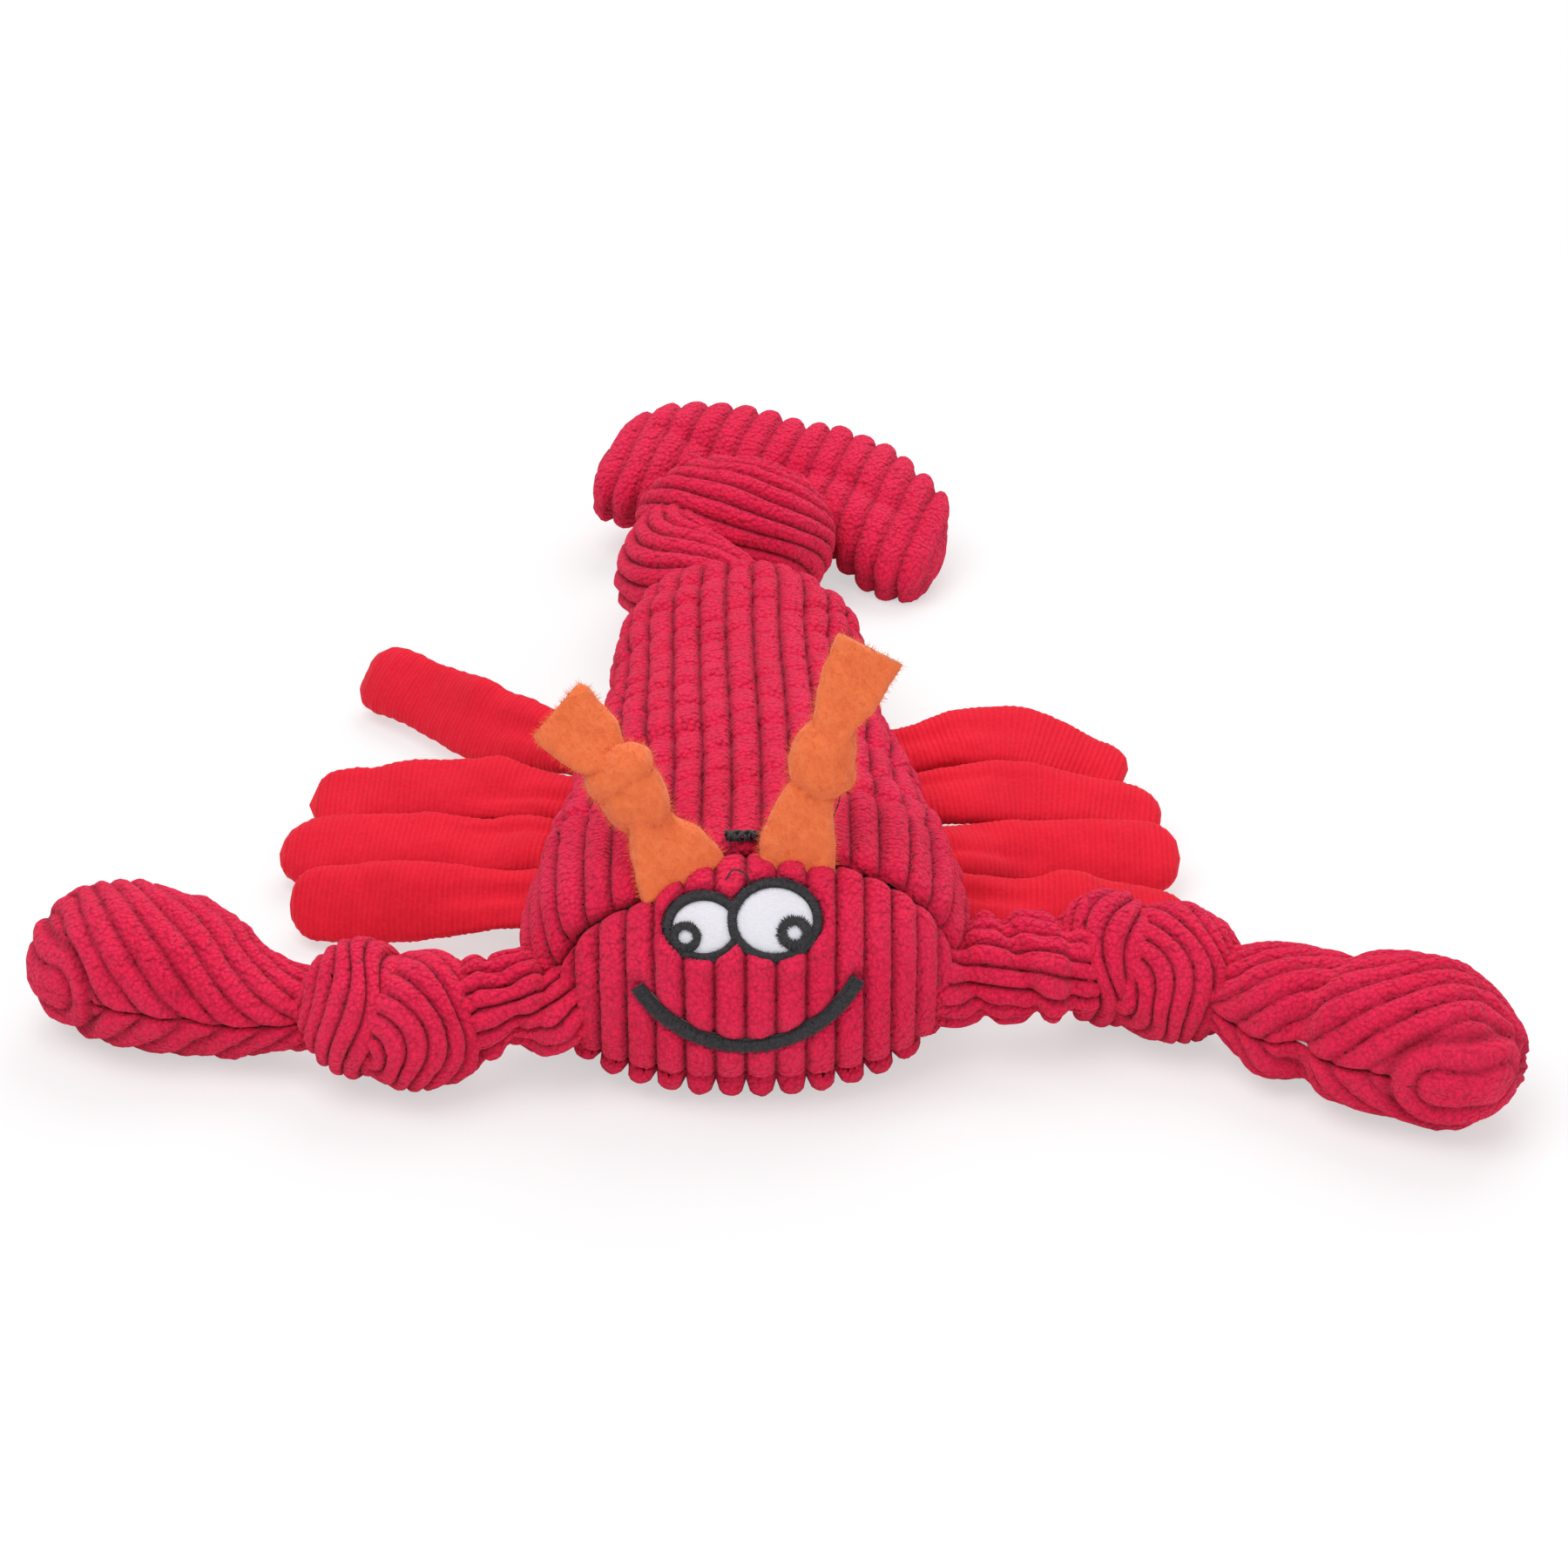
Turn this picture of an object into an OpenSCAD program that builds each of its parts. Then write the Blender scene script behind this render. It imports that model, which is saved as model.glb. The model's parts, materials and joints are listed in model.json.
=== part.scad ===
// Stuffed plush lobster with knotted arms and tail, eight flat legs and two fleece antennae.
// The head faces -Y, the tail +Y, and the belly rests on Z = 0. All lengths are millimetres.

/* [Body] */
// Length of the body from the chin to the seam where the tail is sewn on
body_len = 235; // [200:1:280]
// Width of the body across the head
head_w = 112; // [92:1:136]
// Height of the head
head_h = 64; // [54:1:76]
// Width of the body in front of the tail
rump_w = 74; // [62:1:90]
// Height of the body in front of the tail
rump_h = 50; // [42:1:60]
// Width and height of the opening that the tail is sewn into
rump_opening = 30; // [24:1:36]
// Thickness of the corduroy skin with its backing
skin_t = 2.5; // [1.5:0.1:3]
// Gap left between soft pieces that lie against each other
soft_gap = 0.3; // [0.2:0.05:0.5]

/* [Seams] */
// Distance behind the chin of the seam between the face and the back
face_seam = 31; // [26:1:37]
// Height of the seam between the face and the belly
chin_seam_z = 10; // [8:1:13]
// Height of the side seams between the back and the belly
side_seam_z = 15; // [13:1:18]

/* [Face] */
// Radius of the white of the right eye
right_eye_r = 9.1; // [7.5:0.1:11]
// Radius of the white of the left eye
left_eye_r = 7.8; // [6.5:0.1:9.5]
// Width of the stitched rim round each eye
eye_rim = 2.6; // [2:0.1:3.2]
// Radius of the stitched pupil
pupil_r = 4.6; // [3.6:0.1:5.4]
// Radius of the white spot in the pupil
glint_r = 2; // [1.6:0.1:2.4]
// Radius of the smile
smile_r = 34.7; // [29:0.5:40]
// Half of the angle that the smile spans
smile_half_angle = 62; // [50:1:72]
// Width of the smile's stitching
smile_w = 2.9; // [2.2:0.1:3.6]
// Height of a patch or of stitching above the skin
patch_t = 0.7; // [0.5:0.1:1]

/* [Arms] */
// Radius of the gathered neck of each arm
neck_r = 5.5; // [4.6:0.1:6.6]
// Half length, half depth and half height of an arm's knot
arm_knot = [24, 21, 20];
// Length of a claw from its neck to its tip
claw_len = 76; // [63:1:92]
// Width of a claw
claw_w = 46; // [38:1:56]
// Height of a claw
claw_h = 37; // [31:1:44]

/* [Legs] */
// Width of a leg
leg_w = 19; // [16:0.5:21]
// Thickness of a leg
leg_t = 6.4; // [5.2:0.2:7.8]
// Spacing of the legs along the side seam
leg_pitch = 27; // [24:0.5:33]

/* [Antennae] */
// Width of an antenna's fleece strip
strip_w = 19; // [15:0.5:23]
// Thickness of the folded fleece strip
strip_t = 4.4; // [3.6:0.2:5.4]
// Length of the left antenna, which has two knots, and of the right, which has one
antenna_len = [52, 64];
// Thickness of a knot tied in the strip
strip_knot_t = 16; // [13:0.5:19]

/* [Tail] */
// Half width, half depth and half height of the tail's knot
tail_knot = [33, 24, 25];
// Width of the tail fan
fan_w = 124; // [104:1:148]
// Depth of the tail fan, front to back
fan_depth = 44; // [37:1:52]
// Thickness of the tail fan
fan_t = 26; // [22:1:31]
// Radius of the gathered neck of the fan
fan_neck_r = 5; // [4:0.2:6]

/* [Squeakers] */
// Outer radius of the bulb in the body
bulb_r = 17; // [14:0.5:20]
// Wall of a bulb
bulb_wall = 1; // [0.8:0.1:1.4]
// Radius of the reed plug
reed_r = 5; // [4:0.2:6]
// Radius of the air hole in the reed plug
reed_hole_r = 1.2; // [1:0.1:1.5]
// Outer radius of the small bulb in each claw
claw_bulb_r = 9; // [7.5:0.5:10.5]

/* [Hidden] */

LEFT = 0;
RIGHT = 1;
CORDUROY = "crimson";
LEG_VELOUR = "firebrick";
FLEECE = "darkorange";
FILL = "whitesmoke";
THREAD = "black";

// Body outline
chin_y = -body_len * 123 / 235;
tail_y = chin_y + body_len;
nose_len = 40;
rump_len = 26;
nose_z = 22;
opening_z = 24;
nose_power = 2.2;
ring_power = 2.4;
// The rings reach this far below the floor and are cut off flat there, which gives the belly a face to rest on
belly_sink = 3;
// Share of the height at which the body is widest
widest_share = 0.44;
ring_points = 28;
blob_points = 18;
seam_y = chin_y + face_seam;
far = 400;
// Gap between the body and the root of an arm, a leg or the tail
root_gap = soft_gap + 0.1;

// Face drawing plane: tilted back from vertical by this angle
face_tilt = 30;

// Arms: how far each is turned forward at the shoulder and at the wrist, and the length between its two neck joints
arm_turn = [2, -7.6];
claw_turn = [-16, 25];
sleeve_len = [2, 16];
shoulder_y = [chin_y + 21, chin_y + 36.5];
shoulder_z = 22;
wrist_z = 17;

// Legs, front one last: how far each is turned back, lifted, rolled, and its straight length
leg_turn = [[24, 8, 10, 11], [-3, 3, 9, 5]];
leg_lift = [[5, -9, -8, -5], [-9, -9, -9, -10]];
leg_roll = [[40, 12, 16, 38], [6, 14, 24, 10]];
leg_len = [[80, 82, 84, 74], [66, 71, 72, 68]];
leg_z = 18;
leg_root_r = 3.2;
first_leg_y = 38;

// Antennae: how far across from the middle each stands, and how far it leans to its side
antenna_x = [-21, 12];
antenna_side_lean = [32, -21];

// Tail
tail_neck_r = 11;
tail_neck_len = 19;
tail_side_shift = -8;
fan_turn = 22;
fan_pitch = 25;
fan_roll = 5;
fan_joint_z = 15;

function ease(t) = t < 0 ? 0 : t > 1 ? 1 : t * t * (3 - 2 * t);
function mix(a, b, t) = a + (b - a) * t;
function power(v, p) = sign(v) * pow(abs(v), p);
function fullness(c, p) = pow(1 - pow(c, p), 1 / p);

// Body half width and top height at y, before the ends are closed
function plan_half_w(y) = mix(head_w, rump_w, ease((y - chin_y - 43) / (body_len * 0.72))) / 2;
function plan_top(y) = mix(head_h, rump_h, ease((y - chin_y - 43) / (body_len * 0.81)));

// A station is [y, how full the ring is, how much of an offset goes along y, 0 at the nose or 1 at the rump]
nose_stations = [for (a = [6, 16, 28, 42, 58, 74, 90])
    [chin_y + nose_len * (1 - cos(a)), fullness(cos(a), nose_power), -cos(a), 0]];
middle_count = 7;
middle_stations = [for (i = [1:middle_count])
    [mix(chin_y + nose_len, tail_y - rump_len, i / middle_count), 1, 0, 1]];
rump_stations = [for (a = [20, 40, 58, 74, 90])
    [tail_y - rump_len * (1 - sin(a)), fullness(sin(a), nose_power), sin(a), 1]];
stations = concat(nose_stations, middle_stations, rump_stations);

function ring_half_w(s) = mix(s[3] * rump_opening / 2, plan_half_w(s[0]), s[1]);
function ring_top(s) = mix(s[3] ? opening_z + rump_opening / 2 : nose_z, plan_top(s[0]), s[1]);
function ring_bottom(s) = mix(s[3] ? opening_z - rump_opening / 2 : nose_z, -belly_sink, s[1]);

// One ring of the body, offset outwards by grow
function body_ring(s, grow) =
    let (side = sqrt(1 - s[2] * s[2]),
         half_w = ring_half_w(s) + grow * side,
         top = ring_top(s) + grow * side,
         bottom = ring_bottom(s) - grow * side,
         middle = mix(bottom, top, widest_share))
    [for (i = [0:ring_points - 1])
        let (a = 360 * i / ring_points,
             up = power(sin(a), 2 / ring_power))
        [half_w * power(cos(a), 2 / ring_power),
         s[0] + grow * s[2],
         max(middle + up * (up > 0 ? top - middle : middle - bottom), -grow)]];

// Height of the head's skin at x and y, behind the nose
function skin_z(x, y) =
    let (top = plan_top(y), middle = mix(-belly_sink, top, widest_share))
    middle + (top - middle) * fullness(min(abs(x) / plan_half_w(y), 1), ring_power);

// Half width of the body at y and z, below its widest height
function side_half_w(y, z) =
    let (middle = mix(-belly_sink, plan_top(y), widest_share))
    plan_half_w(y) * fullness((middle - z) / (middle + belly_sink), ring_power);

// Solid through a list of rings with the same number of points
module loft(rings) {
    n = len(rings[0]);
    last = (len(rings) - 1) * n;
    sides = [for (i = [0:len(rings) - 2], j = [0:n - 1])
        let (a = i * n + j, b = i * n + (j + 1) % n)
        each [[a, b, b + n], [a, b + n, a + n]]];
    caps = [[for (j = [n - 1:-1:0]) j], [for (j = [0:n - 1]) last + j]];
    polyhedron([for (r = rings) each r], concat(sides, caps));
}

// Body-shaped solid, offset outwards by grow
module body_solid(grow = 0) loft([for (s = stations) body_ring(s, grow)]);

// The whole body skin
module body_skin() difference() {
    body_solid();
    body_solid(-skin_t);
}

// Everything ahead of the face seam and above the chin seam
module face_zone() translate([-far / 2, seam_y - far, chin_seam_z]) cube(far);

// Everything behind the face seam and above the side seams
module back_zone() translate([-far / 2, seam_y, side_seam_z]) cube(far);

module face_panel() color(CORDUROY) intersection() {
    body_skin();
    face_zone();
}

module back_panel() color(CORDUROY) intersection() {
    body_skin();
    back_zone();
}

module belly_panel() color(CORDUROY) difference() {
    body_skin();
    face_zone();
    back_zone();
}

// Squeaker in the body: a hollow bulb with its neck towards the tail
bulb_y = seam_y + 45;
bulb_z = 31;
bulb_neck = 8;

module at_bulb() translate([0, bulb_y, bulb_z]) rotate([-90, 0, 0]) children();

module bulb_outline(r) {
    sphere(r, $fn = 48);
    cylinder(h = bulb_r + bulb_neck, r = r - bulb_r + reed_r + 2 * bulb_wall, $fn = 48);
}

module squeaker_bulb() color(FILL) at_bulb() difference() {
    bulb_outline(bulb_r);
    sphere(bulb_r - bulb_wall, $fn = 48);
    cylinder(h = bulb_r + bulb_neck + 1, r = reed_r, $fn = 48);
}

module squeaker_reed() color(FILL) at_bulb() difference() {
    translate([0, 0, bulb_r]) cylinder(h = bulb_neck, r = reed_r - soft_gap / 6, $fn = 48);
    cylinder(h = bulb_r + bulb_neck + 1, r = reed_hole_r, $fn = 24);
}

module body_stuffing() color(FILL) difference() {
    body_solid(-skin_t - soft_gap);
    at_bulb() bulb_outline(bulb_r + soft_gap);
    at_bulb() cylinder(h = bulb_r + bulb_neck + soft_gap, r = reed_r + 2 * bulb_wall + soft_gap, $fn = 48);
}

// Things sewn on the face: a drawing with +Y up, laid on the skin between two heights above it
module on_face(low, high) intersection() {
    difference() {
        body_solid(high);
        body_solid(low);
    }
    rotate([90 - face_tilt, 0, 0]) translate([0, 0, face_from]) linear_extrude(height = far / 2) children();
}

// Where the eyes and the smile lie in the face drawing, measured up from the origin's level there
eye_at = [[-10.8, -9], [8.2, -7.4]];
pupil_at = [[-15.2, -12.6], [12.4, -11.6]];
smile_centre = [0, -6.6];
smile_lean = 2;
// Distance out from the origin at which the drawing starts, inside the head
face_from = -0.74 * chin_y;
eye_flatness = 0.86;

module eye_disc(side, r) translate(eye_at[side]) scale([1, eye_flatness]) circle(r, $fn = 40);

function eye_r(side) = side == LEFT ? left_eye_r : right_eye_r;

// The right eye lies over the left one
module eye_shape(side, r) difference() {
    eye_disc(side, r);
    if (side == LEFT) eye_disc(RIGHT, right_eye_r + eye_rim + soft_gap);
}

module eye_white(side) color("white") on_face(soft_gap, soft_gap + patch_t)
    eye_shape(side, eye_r(side));

module eye_stitching(side) color(THREAD) {
    on_face(soft_gap, soft_gap + 2 * patch_t) difference() {
        eye_shape(side, eye_r(side) + eye_rim);
        eye_disc(side, eye_r(side) + soft_gap / 3);
    }
    on_face(soft_gap * 1.5 + patch_t, soft_gap + 2 * patch_t) difference() {
        intersection() {
            translate(pupil_at[side]) circle(side == LEFT ? pupil_r * 0.88 : pupil_r, $fn = 32);
            eye_shape(side, eye_r(side) + eye_rim / 2);
        }
        translate(pupil_at[side]) circle(glint_r, $fn = 24);
    }
}

module mouth_stitching() color(THREAD) on_face(soft_gap, soft_gap + patch_t)
    translate(smile_centre) rotate(smile_lean) intersection() {
        difference() {
            circle(smile_r + smile_w / 2, $fn = 80);
            circle(smile_r - smile_w / 2, $fn = 80);
        }
        polygon([[0, 0],
            2 * smile_r * [-sin(smile_half_angle), -cos(smile_half_angle)],
            [0, -2 * smile_r],
            2 * smile_r * [sin(smile_half_angle), -cos(smile_half_angle)]]);
    }

// Knot of the thread that closes the seam at the top of the head: three small lumps in a row
thread_knot_r = 1.4;
module closing_thread() color(THREAD)
    translate([-1, seam_y + 2, skin_z(0, seam_y) + thread_knot_r + soft_gap])
        blob(ellipsoid([thread_knot_r * 2.6, thread_knot_r, thread_knot_r]), points = 12);

// Solid along local X from stations [x, half width, half height, centre height], none lower than lowest
module blob(list, lowest = -far, points = blob_points) loft([for (s = list)
    [for (j = [0:points - 1]) let (a = 360 * j / points)
        [s[0], -s[1] * power(cos(a), 0.9), max(s[3] + s[2] * power(sin(a), 0.9), lowest)]]]);

// Stations of an ellipsoid, as a blob along X with its poles cut off flat
function ellipsoid(half, centre = 0) = [for (a = [-80, -60, -38, -13, 13, 38, 60, 80])
    [half[0] * sin(a) / sin(80), half[1] * cos(a), half[2] * cos(a), centre]];

// Stations of a rounded end of radius r about x = 0, from the pole to the shoulder
function round_end(r, centre = 0) = [for (a = [80, 55, 30]) [-r * sin(a) / sin(80), r * cos(a), r * cos(a), centre]];

// Frames along an arm, with +X away from the body on both sides
function shoulder_x(side) = side_half_w(shoulder_y[side], shoulder_z) + neck_r + root_gap;
knot_reach = arm_knot[0] + neck_r + 2 * soft_gap;

module at_side(side) mirror([side == LEFT ? 1 : 0, 0, 0]) children();

module at_shoulder(side) at_side(side)
    translate([shoulder_x(side), shoulder_y[side], shoulder_z]) rotate([0, 0, -arm_turn[side]]) children();

function arm_knot_at(side) =
    [shoulder_x(side) + (sleeve_len[side] + knot_reach) * cos(arm_turn[side]),
     shoulder_y[side] - (sleeve_len[side] + knot_reach) * sin(arm_turn[side]),
     arm_knot[2]];

function wrist_at(side) =
    [arm_knot_at(side)[0] + knot_reach * cos(claw_turn[side]),
     arm_knot_at(side)[1] - knot_reach * sin(claw_turn[side]),
     wrist_z];

module arm_sleeve(side) color(CORDUROY) at_shoulder(side) rotate([0, 90, 0])
    rotate_extrude($fn = 40) intersection() {
        hull() for (z = [0, sleeve_len[side]]) translate([0, z]) circle(neck_r, $fn = 40);
        translate([0, -neck_r]) square([neck_r, 2 * neck_r + sleeve_len[side]]);
    }

module arm_knot_piece(side) color(CORDUROY) at_side(side)
    translate([arm_knot_at(side)[0], arm_knot_at(side)[1], 0])
        rotate([0, 0, -(arm_turn[side] + claw_turn[side]) / 2])
            blob(ellipsoid([arm_knot[0], arm_knot[1], arm_knot[2] + 1], arm_knot[2]), 0);

// Claw outline along local X from the wrist, offset inwards by inset
function claw_stations(inset) = concat(
    inset > 0 ? [] : round_end(neck_r),
    [for (p = [[0.1, 0.34, 0.4], [0.24, 0.62, 0.66], [0.42, 0.9, 0.94], [0.6, 1, 1],
               [0.78, 0.86, 0.88], [0.9, 0.6, 0.62], [0.97, 0.34, 0.36]])
        [claw_len * p[0] + (p[0] < 0.2 ? inset : p[0] > 0.9 ? -inset : 0),
         claw_w / 2 * p[1] - inset, claw_h / 2 * p[2] - inset,
         mix(0, claw_h / 2 - wrist_z, ease(p[0] / 0.5))]],
    inset > 0 ? [] : [[claw_len, claw_w * 0.06, claw_h * 0.06, claw_h / 2 - wrist_z]]);

module at_wrist(side) at_side(side) translate(wrist_at(side)) rotate([0, 0, -claw_turn[side]]) children();

module claw_solid(inset = 0) blob(claw_stations(inset), inset - wrist_z);

// Half of the claw's skin; the seam between the halves runs round the claw at mid height
module claw_panel(side, top) color(CORDUROY) at_wrist(side) intersection() {
    difference() {
        claw_solid();
        claw_solid(skin_t);
    }
    translate([-far / 2, -far / 2, claw_h / 2 - wrist_z - (top ? 0 : far)]) cube(far);
}

claw_bulb_x = claw_len * 0.56;
module at_claw_bulb() translate([claw_bulb_x, 0, claw_h / 2 - wrist_z]) children();

module claw_stuffing(side) color(FILL) at_wrist(side) difference() {
    claw_solid(skin_t + soft_gap);
    at_claw_bulb() sphere(claw_bulb_r + soft_gap, $fn = 40);
}

module claw_squeaker(side) color(FILL) at_wrist(side) at_claw_bulb() difference() {
    sphere(claw_bulb_r, $fn = 40);
    sphere(claw_bulb_r - bulb_wall, $fn = 40);
    cylinder(h = claw_bulb_r + 1, r = reed_hole_r, $fn = 24);
}

// Legs
function leg_y(i) = first_leg_y - i * leg_pitch;
function leg_x(i) = side_half_w(leg_y(i), leg_z) + leg_root_r + root_gap;

module leg(side, i) color(LEG_VELOUR) at_side(side) translate([leg_x(i), leg_y(i), leg_z])
    rotate([0, 0, leg_turn[side][i]]) rotate([0, -leg_lift[side][i], 0]) {
        length = leg_len[side][i];
        // The leg twists from flat at its root to its roll at the tip
        loft([for (p = concat([for (a = [80, 50, 20]) [-leg_root_r * sin(a) / length, 0.34 * cos(a), cos(a)]],
                   [[0.1, 0.62, 1], [0.24, 0.86, 1], [0.45, 0.94, 0.95], [0.68, 1, 1], [0.84, 0.98, 1],
                    [0.93, 0.8, 0.9], [0.975, 0.52, 0.7], [1, 0.22, 0.4]]))
            let (twist = (leg_roll[side][i]) * ease(p[0] / 0.5))
            [for (j = [0:13]) let (a = 360 * j / 14,
                across = -leg_w / 2 * p[1] * cos(a), up = leg_t / 2 * p[2] * sin(a))
                [p[0] * length, across * cos(twist) - up * sin(twist), across * sin(twist) + up * cos(twist)]]]);
    }

// Antennae: stations [share of the length, half width in strip widths, half thickness in mm]
function strip_stations(side) = side == LEFT
    ? [[0, 0.56, 0.5], [0.1, 0.62, 0.7], [0.18, 0.6, 1], [0.27, 0.36, 1.3], [0.34, 0.48, 2],
       [0.5, 0.66, 3.6], [0.6, 0.62, 3.6], [0.7, 0.4, 1.4], [0.8, 0.52, 1], [0.94, 0.56, 1], [1, 0.44, 0.8]]
    : [[0, 0.5, 0.5], [0.1, 0.52, 0.9], [0.3, 0.48, 1], [0.42, 0.4, 1.6], [0.5, 0.56, 3.4],
       [0.6, 0.56, 3.6], [0.68, 0.42, 1.8], [0.78, 0.46, 1], [0.94, 0.52, 1], [1, 0.5, 0.9]];

antenna_y = seam_y + 2;
function antenna_root(side) = [antenna_x[side], antenna_y,
    skin_z(max(abs(antenna_x[side]) - strip_w / 2, 0), antenna_y) + strip_t * 0.32];

module antenna(side) color(FLEECE) translate(antenna_root(side))
    rotate([-face_tilt, 0, 0]) rotate([0, -antenna_side_lean[side], 0])
        loft([for (p = strip_stations(side))
            [for (j = [0:15]) let (a = 360 * j / 16)
                [-strip_w * p[1] * power(cos(a), 0.7),
                 min(strip_t / 2 * p[2], strip_knot_t / 2) * power(sin(a), 0.8),
                 antenna_len[side] * p[0] + strip_t / 4]]]);

// Tail: the sleeve's joint, the knot and the fan's neck joint
tail_joint = [0, tail_y + tail_neck_r + root_gap, opening_z];
tail_knot_at = [tail_side_shift, tail_joint[1] + tail_neck_len + tail_knot[1], 0];
tail_turn = -atan(tail_side_shift / (tail_neck_len + tail_knot[1]));
// The fan's joint is below the knot's middle, where the knot is a little less deep
knot_depth_at_fan = tail_knot[1] * sqrt(1 - pow(1 - fan_joint_z / tail_knot[2], 2));
fan_joint_reach = knot_depth_at_fan + fan_neck_r + 3.5 * soft_gap;
fan_joint = [tail_knot_at[0] + fan_joint_reach * sin(fan_turn), tail_knot_at[1] + fan_joint_reach * cos(fan_turn),
    fan_joint_z];

// Gathered tube from the body to the tail's knot, with a round end about the joint
module tail_sleeve() color(CORDUROY) translate(tail_joint) rotate([0, 0, 90 + tail_turn])
    blob(concat(round_end(tail_neck_r),
        [[0, tail_neck_r, tail_neck_r, 0], [tail_neck_r * 0.6, tail_neck_r * 1.1, tail_neck_r * 1.05, 0],
         [tail_neck_len - 4 * soft_gap, tail_neck_r * 0.8, tail_neck_r * 0.8, 0]]));

module tail_knot_piece() color(CORDUROY) translate(tail_knot_at) rotate([0, 0, 90 - fan_turn / 2])
    blob(ellipsoid([tail_knot[1], tail_knot[0], tail_knot[2] + 1], tail_knot[2]), 0, 22);

// Fan stations along its width: [share of half the width, depth share, thickness share, how far back it sits]
fan_profile = [[0.97, 0.5, 0.42, 0], [0.9, 0.74, 0.7, 0], [0.72, 0.95, 0.92, 0], [0.45, 1, 1, 1.5], [0.2, 0.86, 1, 4.5]];
fan_front = fan_depth / 2 * 0.86;
function fan_row(side, p, inset) =
    [side * (fan_w / 2 * p[0] - (p[0] > 0.95 ? inset : 0)),
     fan_depth / 2 * p[1] - inset, fan_t / 2 * p[2] - inset, p[3]];
function fan_stations(inset) = concat(
    [for (p = fan_profile) fan_row(-1, p, inset)],
    [for (i = [len(fan_profile) - 1:-1:0]) fan_row(1, fan_profile[i], inset)]);

// Frame of the fan: origin at its neck joint, +X across it to its right, +Y away from the knot
module at_fan() translate(fan_joint) rotate([0, 0, -fan_turn]) rotate([fan_pitch, fan_roll, 0]) children();

module fan_solid(inset = 0) translate([0, fan_neck_r + fan_front, 0])
    loft([for (s = fan_stations(inset)) [for (j = [0:blob_points - 1]) let (a = 360 * j / blob_points)
        [s[0], s[3] - s[1] * power(cos(a), 0.85), s[2] * power(sin(a), 0.85)]]]);

module fan_outer() {
    fan_solid();
    sphere(fan_neck_r, $fn = 32);
    rotate([-90, 0, 0]) cylinder(h = fan_neck_r + fan_front * 0.5, r = fan_neck_r * 0.8, $fn = 32);
}

module fan_panel(top) color(CORDUROY) at_fan() intersection() {
    difference() {
        fan_outer();
        fan_solid(skin_t);
    }
    translate([-far / 2, -far / 2, top ? 0 : -far]) cube(far);
}

module fan_stuffing() color(FILL) at_fan() fan_solid(skin_t + soft_gap);

face_panel();
back_panel();
belly_panel();
body_stuffing();
squeaker_bulb();
squeaker_reed();
eye_white(LEFT);  // left_eye_white
eye_white(RIGHT);  // right_eye_white
eye_stitching(LEFT);  // left_eye_stitching
eye_stitching(RIGHT);  // right_eye_stitching
mouth_stitching();
closing_thread();
antenna(LEFT);  // left_antenna
antenna(RIGHT);  // right_antenna
arm_sleeve(LEFT);  // left_arm_sleeve
arm_knot_piece(LEFT);  // left_arm_knot
claw_panel(LEFT, true);  // left_claw_top_panel
claw_panel(LEFT, false);  // left_claw_bottom_panel
claw_stuffing(LEFT);  // left_claw_stuffing
claw_squeaker(LEFT);  // left_claw_squeaker
arm_sleeve(RIGHT);  // right_arm_sleeve
arm_knot_piece(RIGHT);  // right_arm_knot
claw_panel(RIGHT, true);  // right_claw_top_panel
claw_panel(RIGHT, false);  // right_claw_bottom_panel
claw_stuffing(RIGHT);  // right_claw_stuffing
claw_squeaker(RIGHT);  // right_claw_squeaker
for (i = [0:3]) {
    leg(LEFT, i);
    leg(RIGHT, i);
}
tail_sleeve();
tail_knot_piece();  // tail_knot
fan_panel(true);  // fan_top_panel
fan_panel(false);  // fan_bottom_panel
fan_stuffing();
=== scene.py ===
"""A stuffed plush lobster: ribbed corduroy body, knotted arms and tail, velour legs, fleece antennae."""

import json
import math

import bpy
import numpy as np
from bpy.props import FloatProperty, FloatVectorProperty, PointerProperty
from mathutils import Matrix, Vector
from mathutils.bvhtree import BVHTree


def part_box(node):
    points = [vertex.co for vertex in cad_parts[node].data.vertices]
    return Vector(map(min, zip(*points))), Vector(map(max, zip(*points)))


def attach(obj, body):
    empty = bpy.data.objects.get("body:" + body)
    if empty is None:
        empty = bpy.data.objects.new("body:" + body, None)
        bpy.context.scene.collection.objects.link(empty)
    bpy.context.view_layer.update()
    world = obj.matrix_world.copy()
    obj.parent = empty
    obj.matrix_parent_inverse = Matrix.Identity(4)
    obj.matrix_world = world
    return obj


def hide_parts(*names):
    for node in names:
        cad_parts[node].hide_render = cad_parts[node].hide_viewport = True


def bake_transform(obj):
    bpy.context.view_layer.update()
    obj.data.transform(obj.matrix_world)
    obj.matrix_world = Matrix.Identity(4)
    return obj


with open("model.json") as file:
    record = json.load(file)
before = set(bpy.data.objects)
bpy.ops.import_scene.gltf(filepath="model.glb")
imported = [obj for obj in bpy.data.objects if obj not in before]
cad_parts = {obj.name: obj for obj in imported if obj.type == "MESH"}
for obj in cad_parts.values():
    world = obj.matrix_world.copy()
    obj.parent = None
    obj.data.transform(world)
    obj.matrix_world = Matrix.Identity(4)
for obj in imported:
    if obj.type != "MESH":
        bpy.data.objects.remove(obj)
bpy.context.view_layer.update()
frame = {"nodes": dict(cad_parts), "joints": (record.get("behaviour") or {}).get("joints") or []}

bl_info = {
    "name": "Plush Lobster",
    "version": (1, 0, 0),
    "blender": (4, 2, 0),
    "location": "View3D > Sidebar > Plush",
    "description": "Makes a stuffed corduroy lobster toy with knotted arms and tail",
    "category": "Add Mesh",
}

MM = 0.001
# Points of a grid across one rib, and how far cloth stays above the floor, in millimetres
COLUMNS_PER_RIB = 8
FLOOR_GAP = 0.05
SIDES = {"left": -1, "right": 1}

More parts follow.
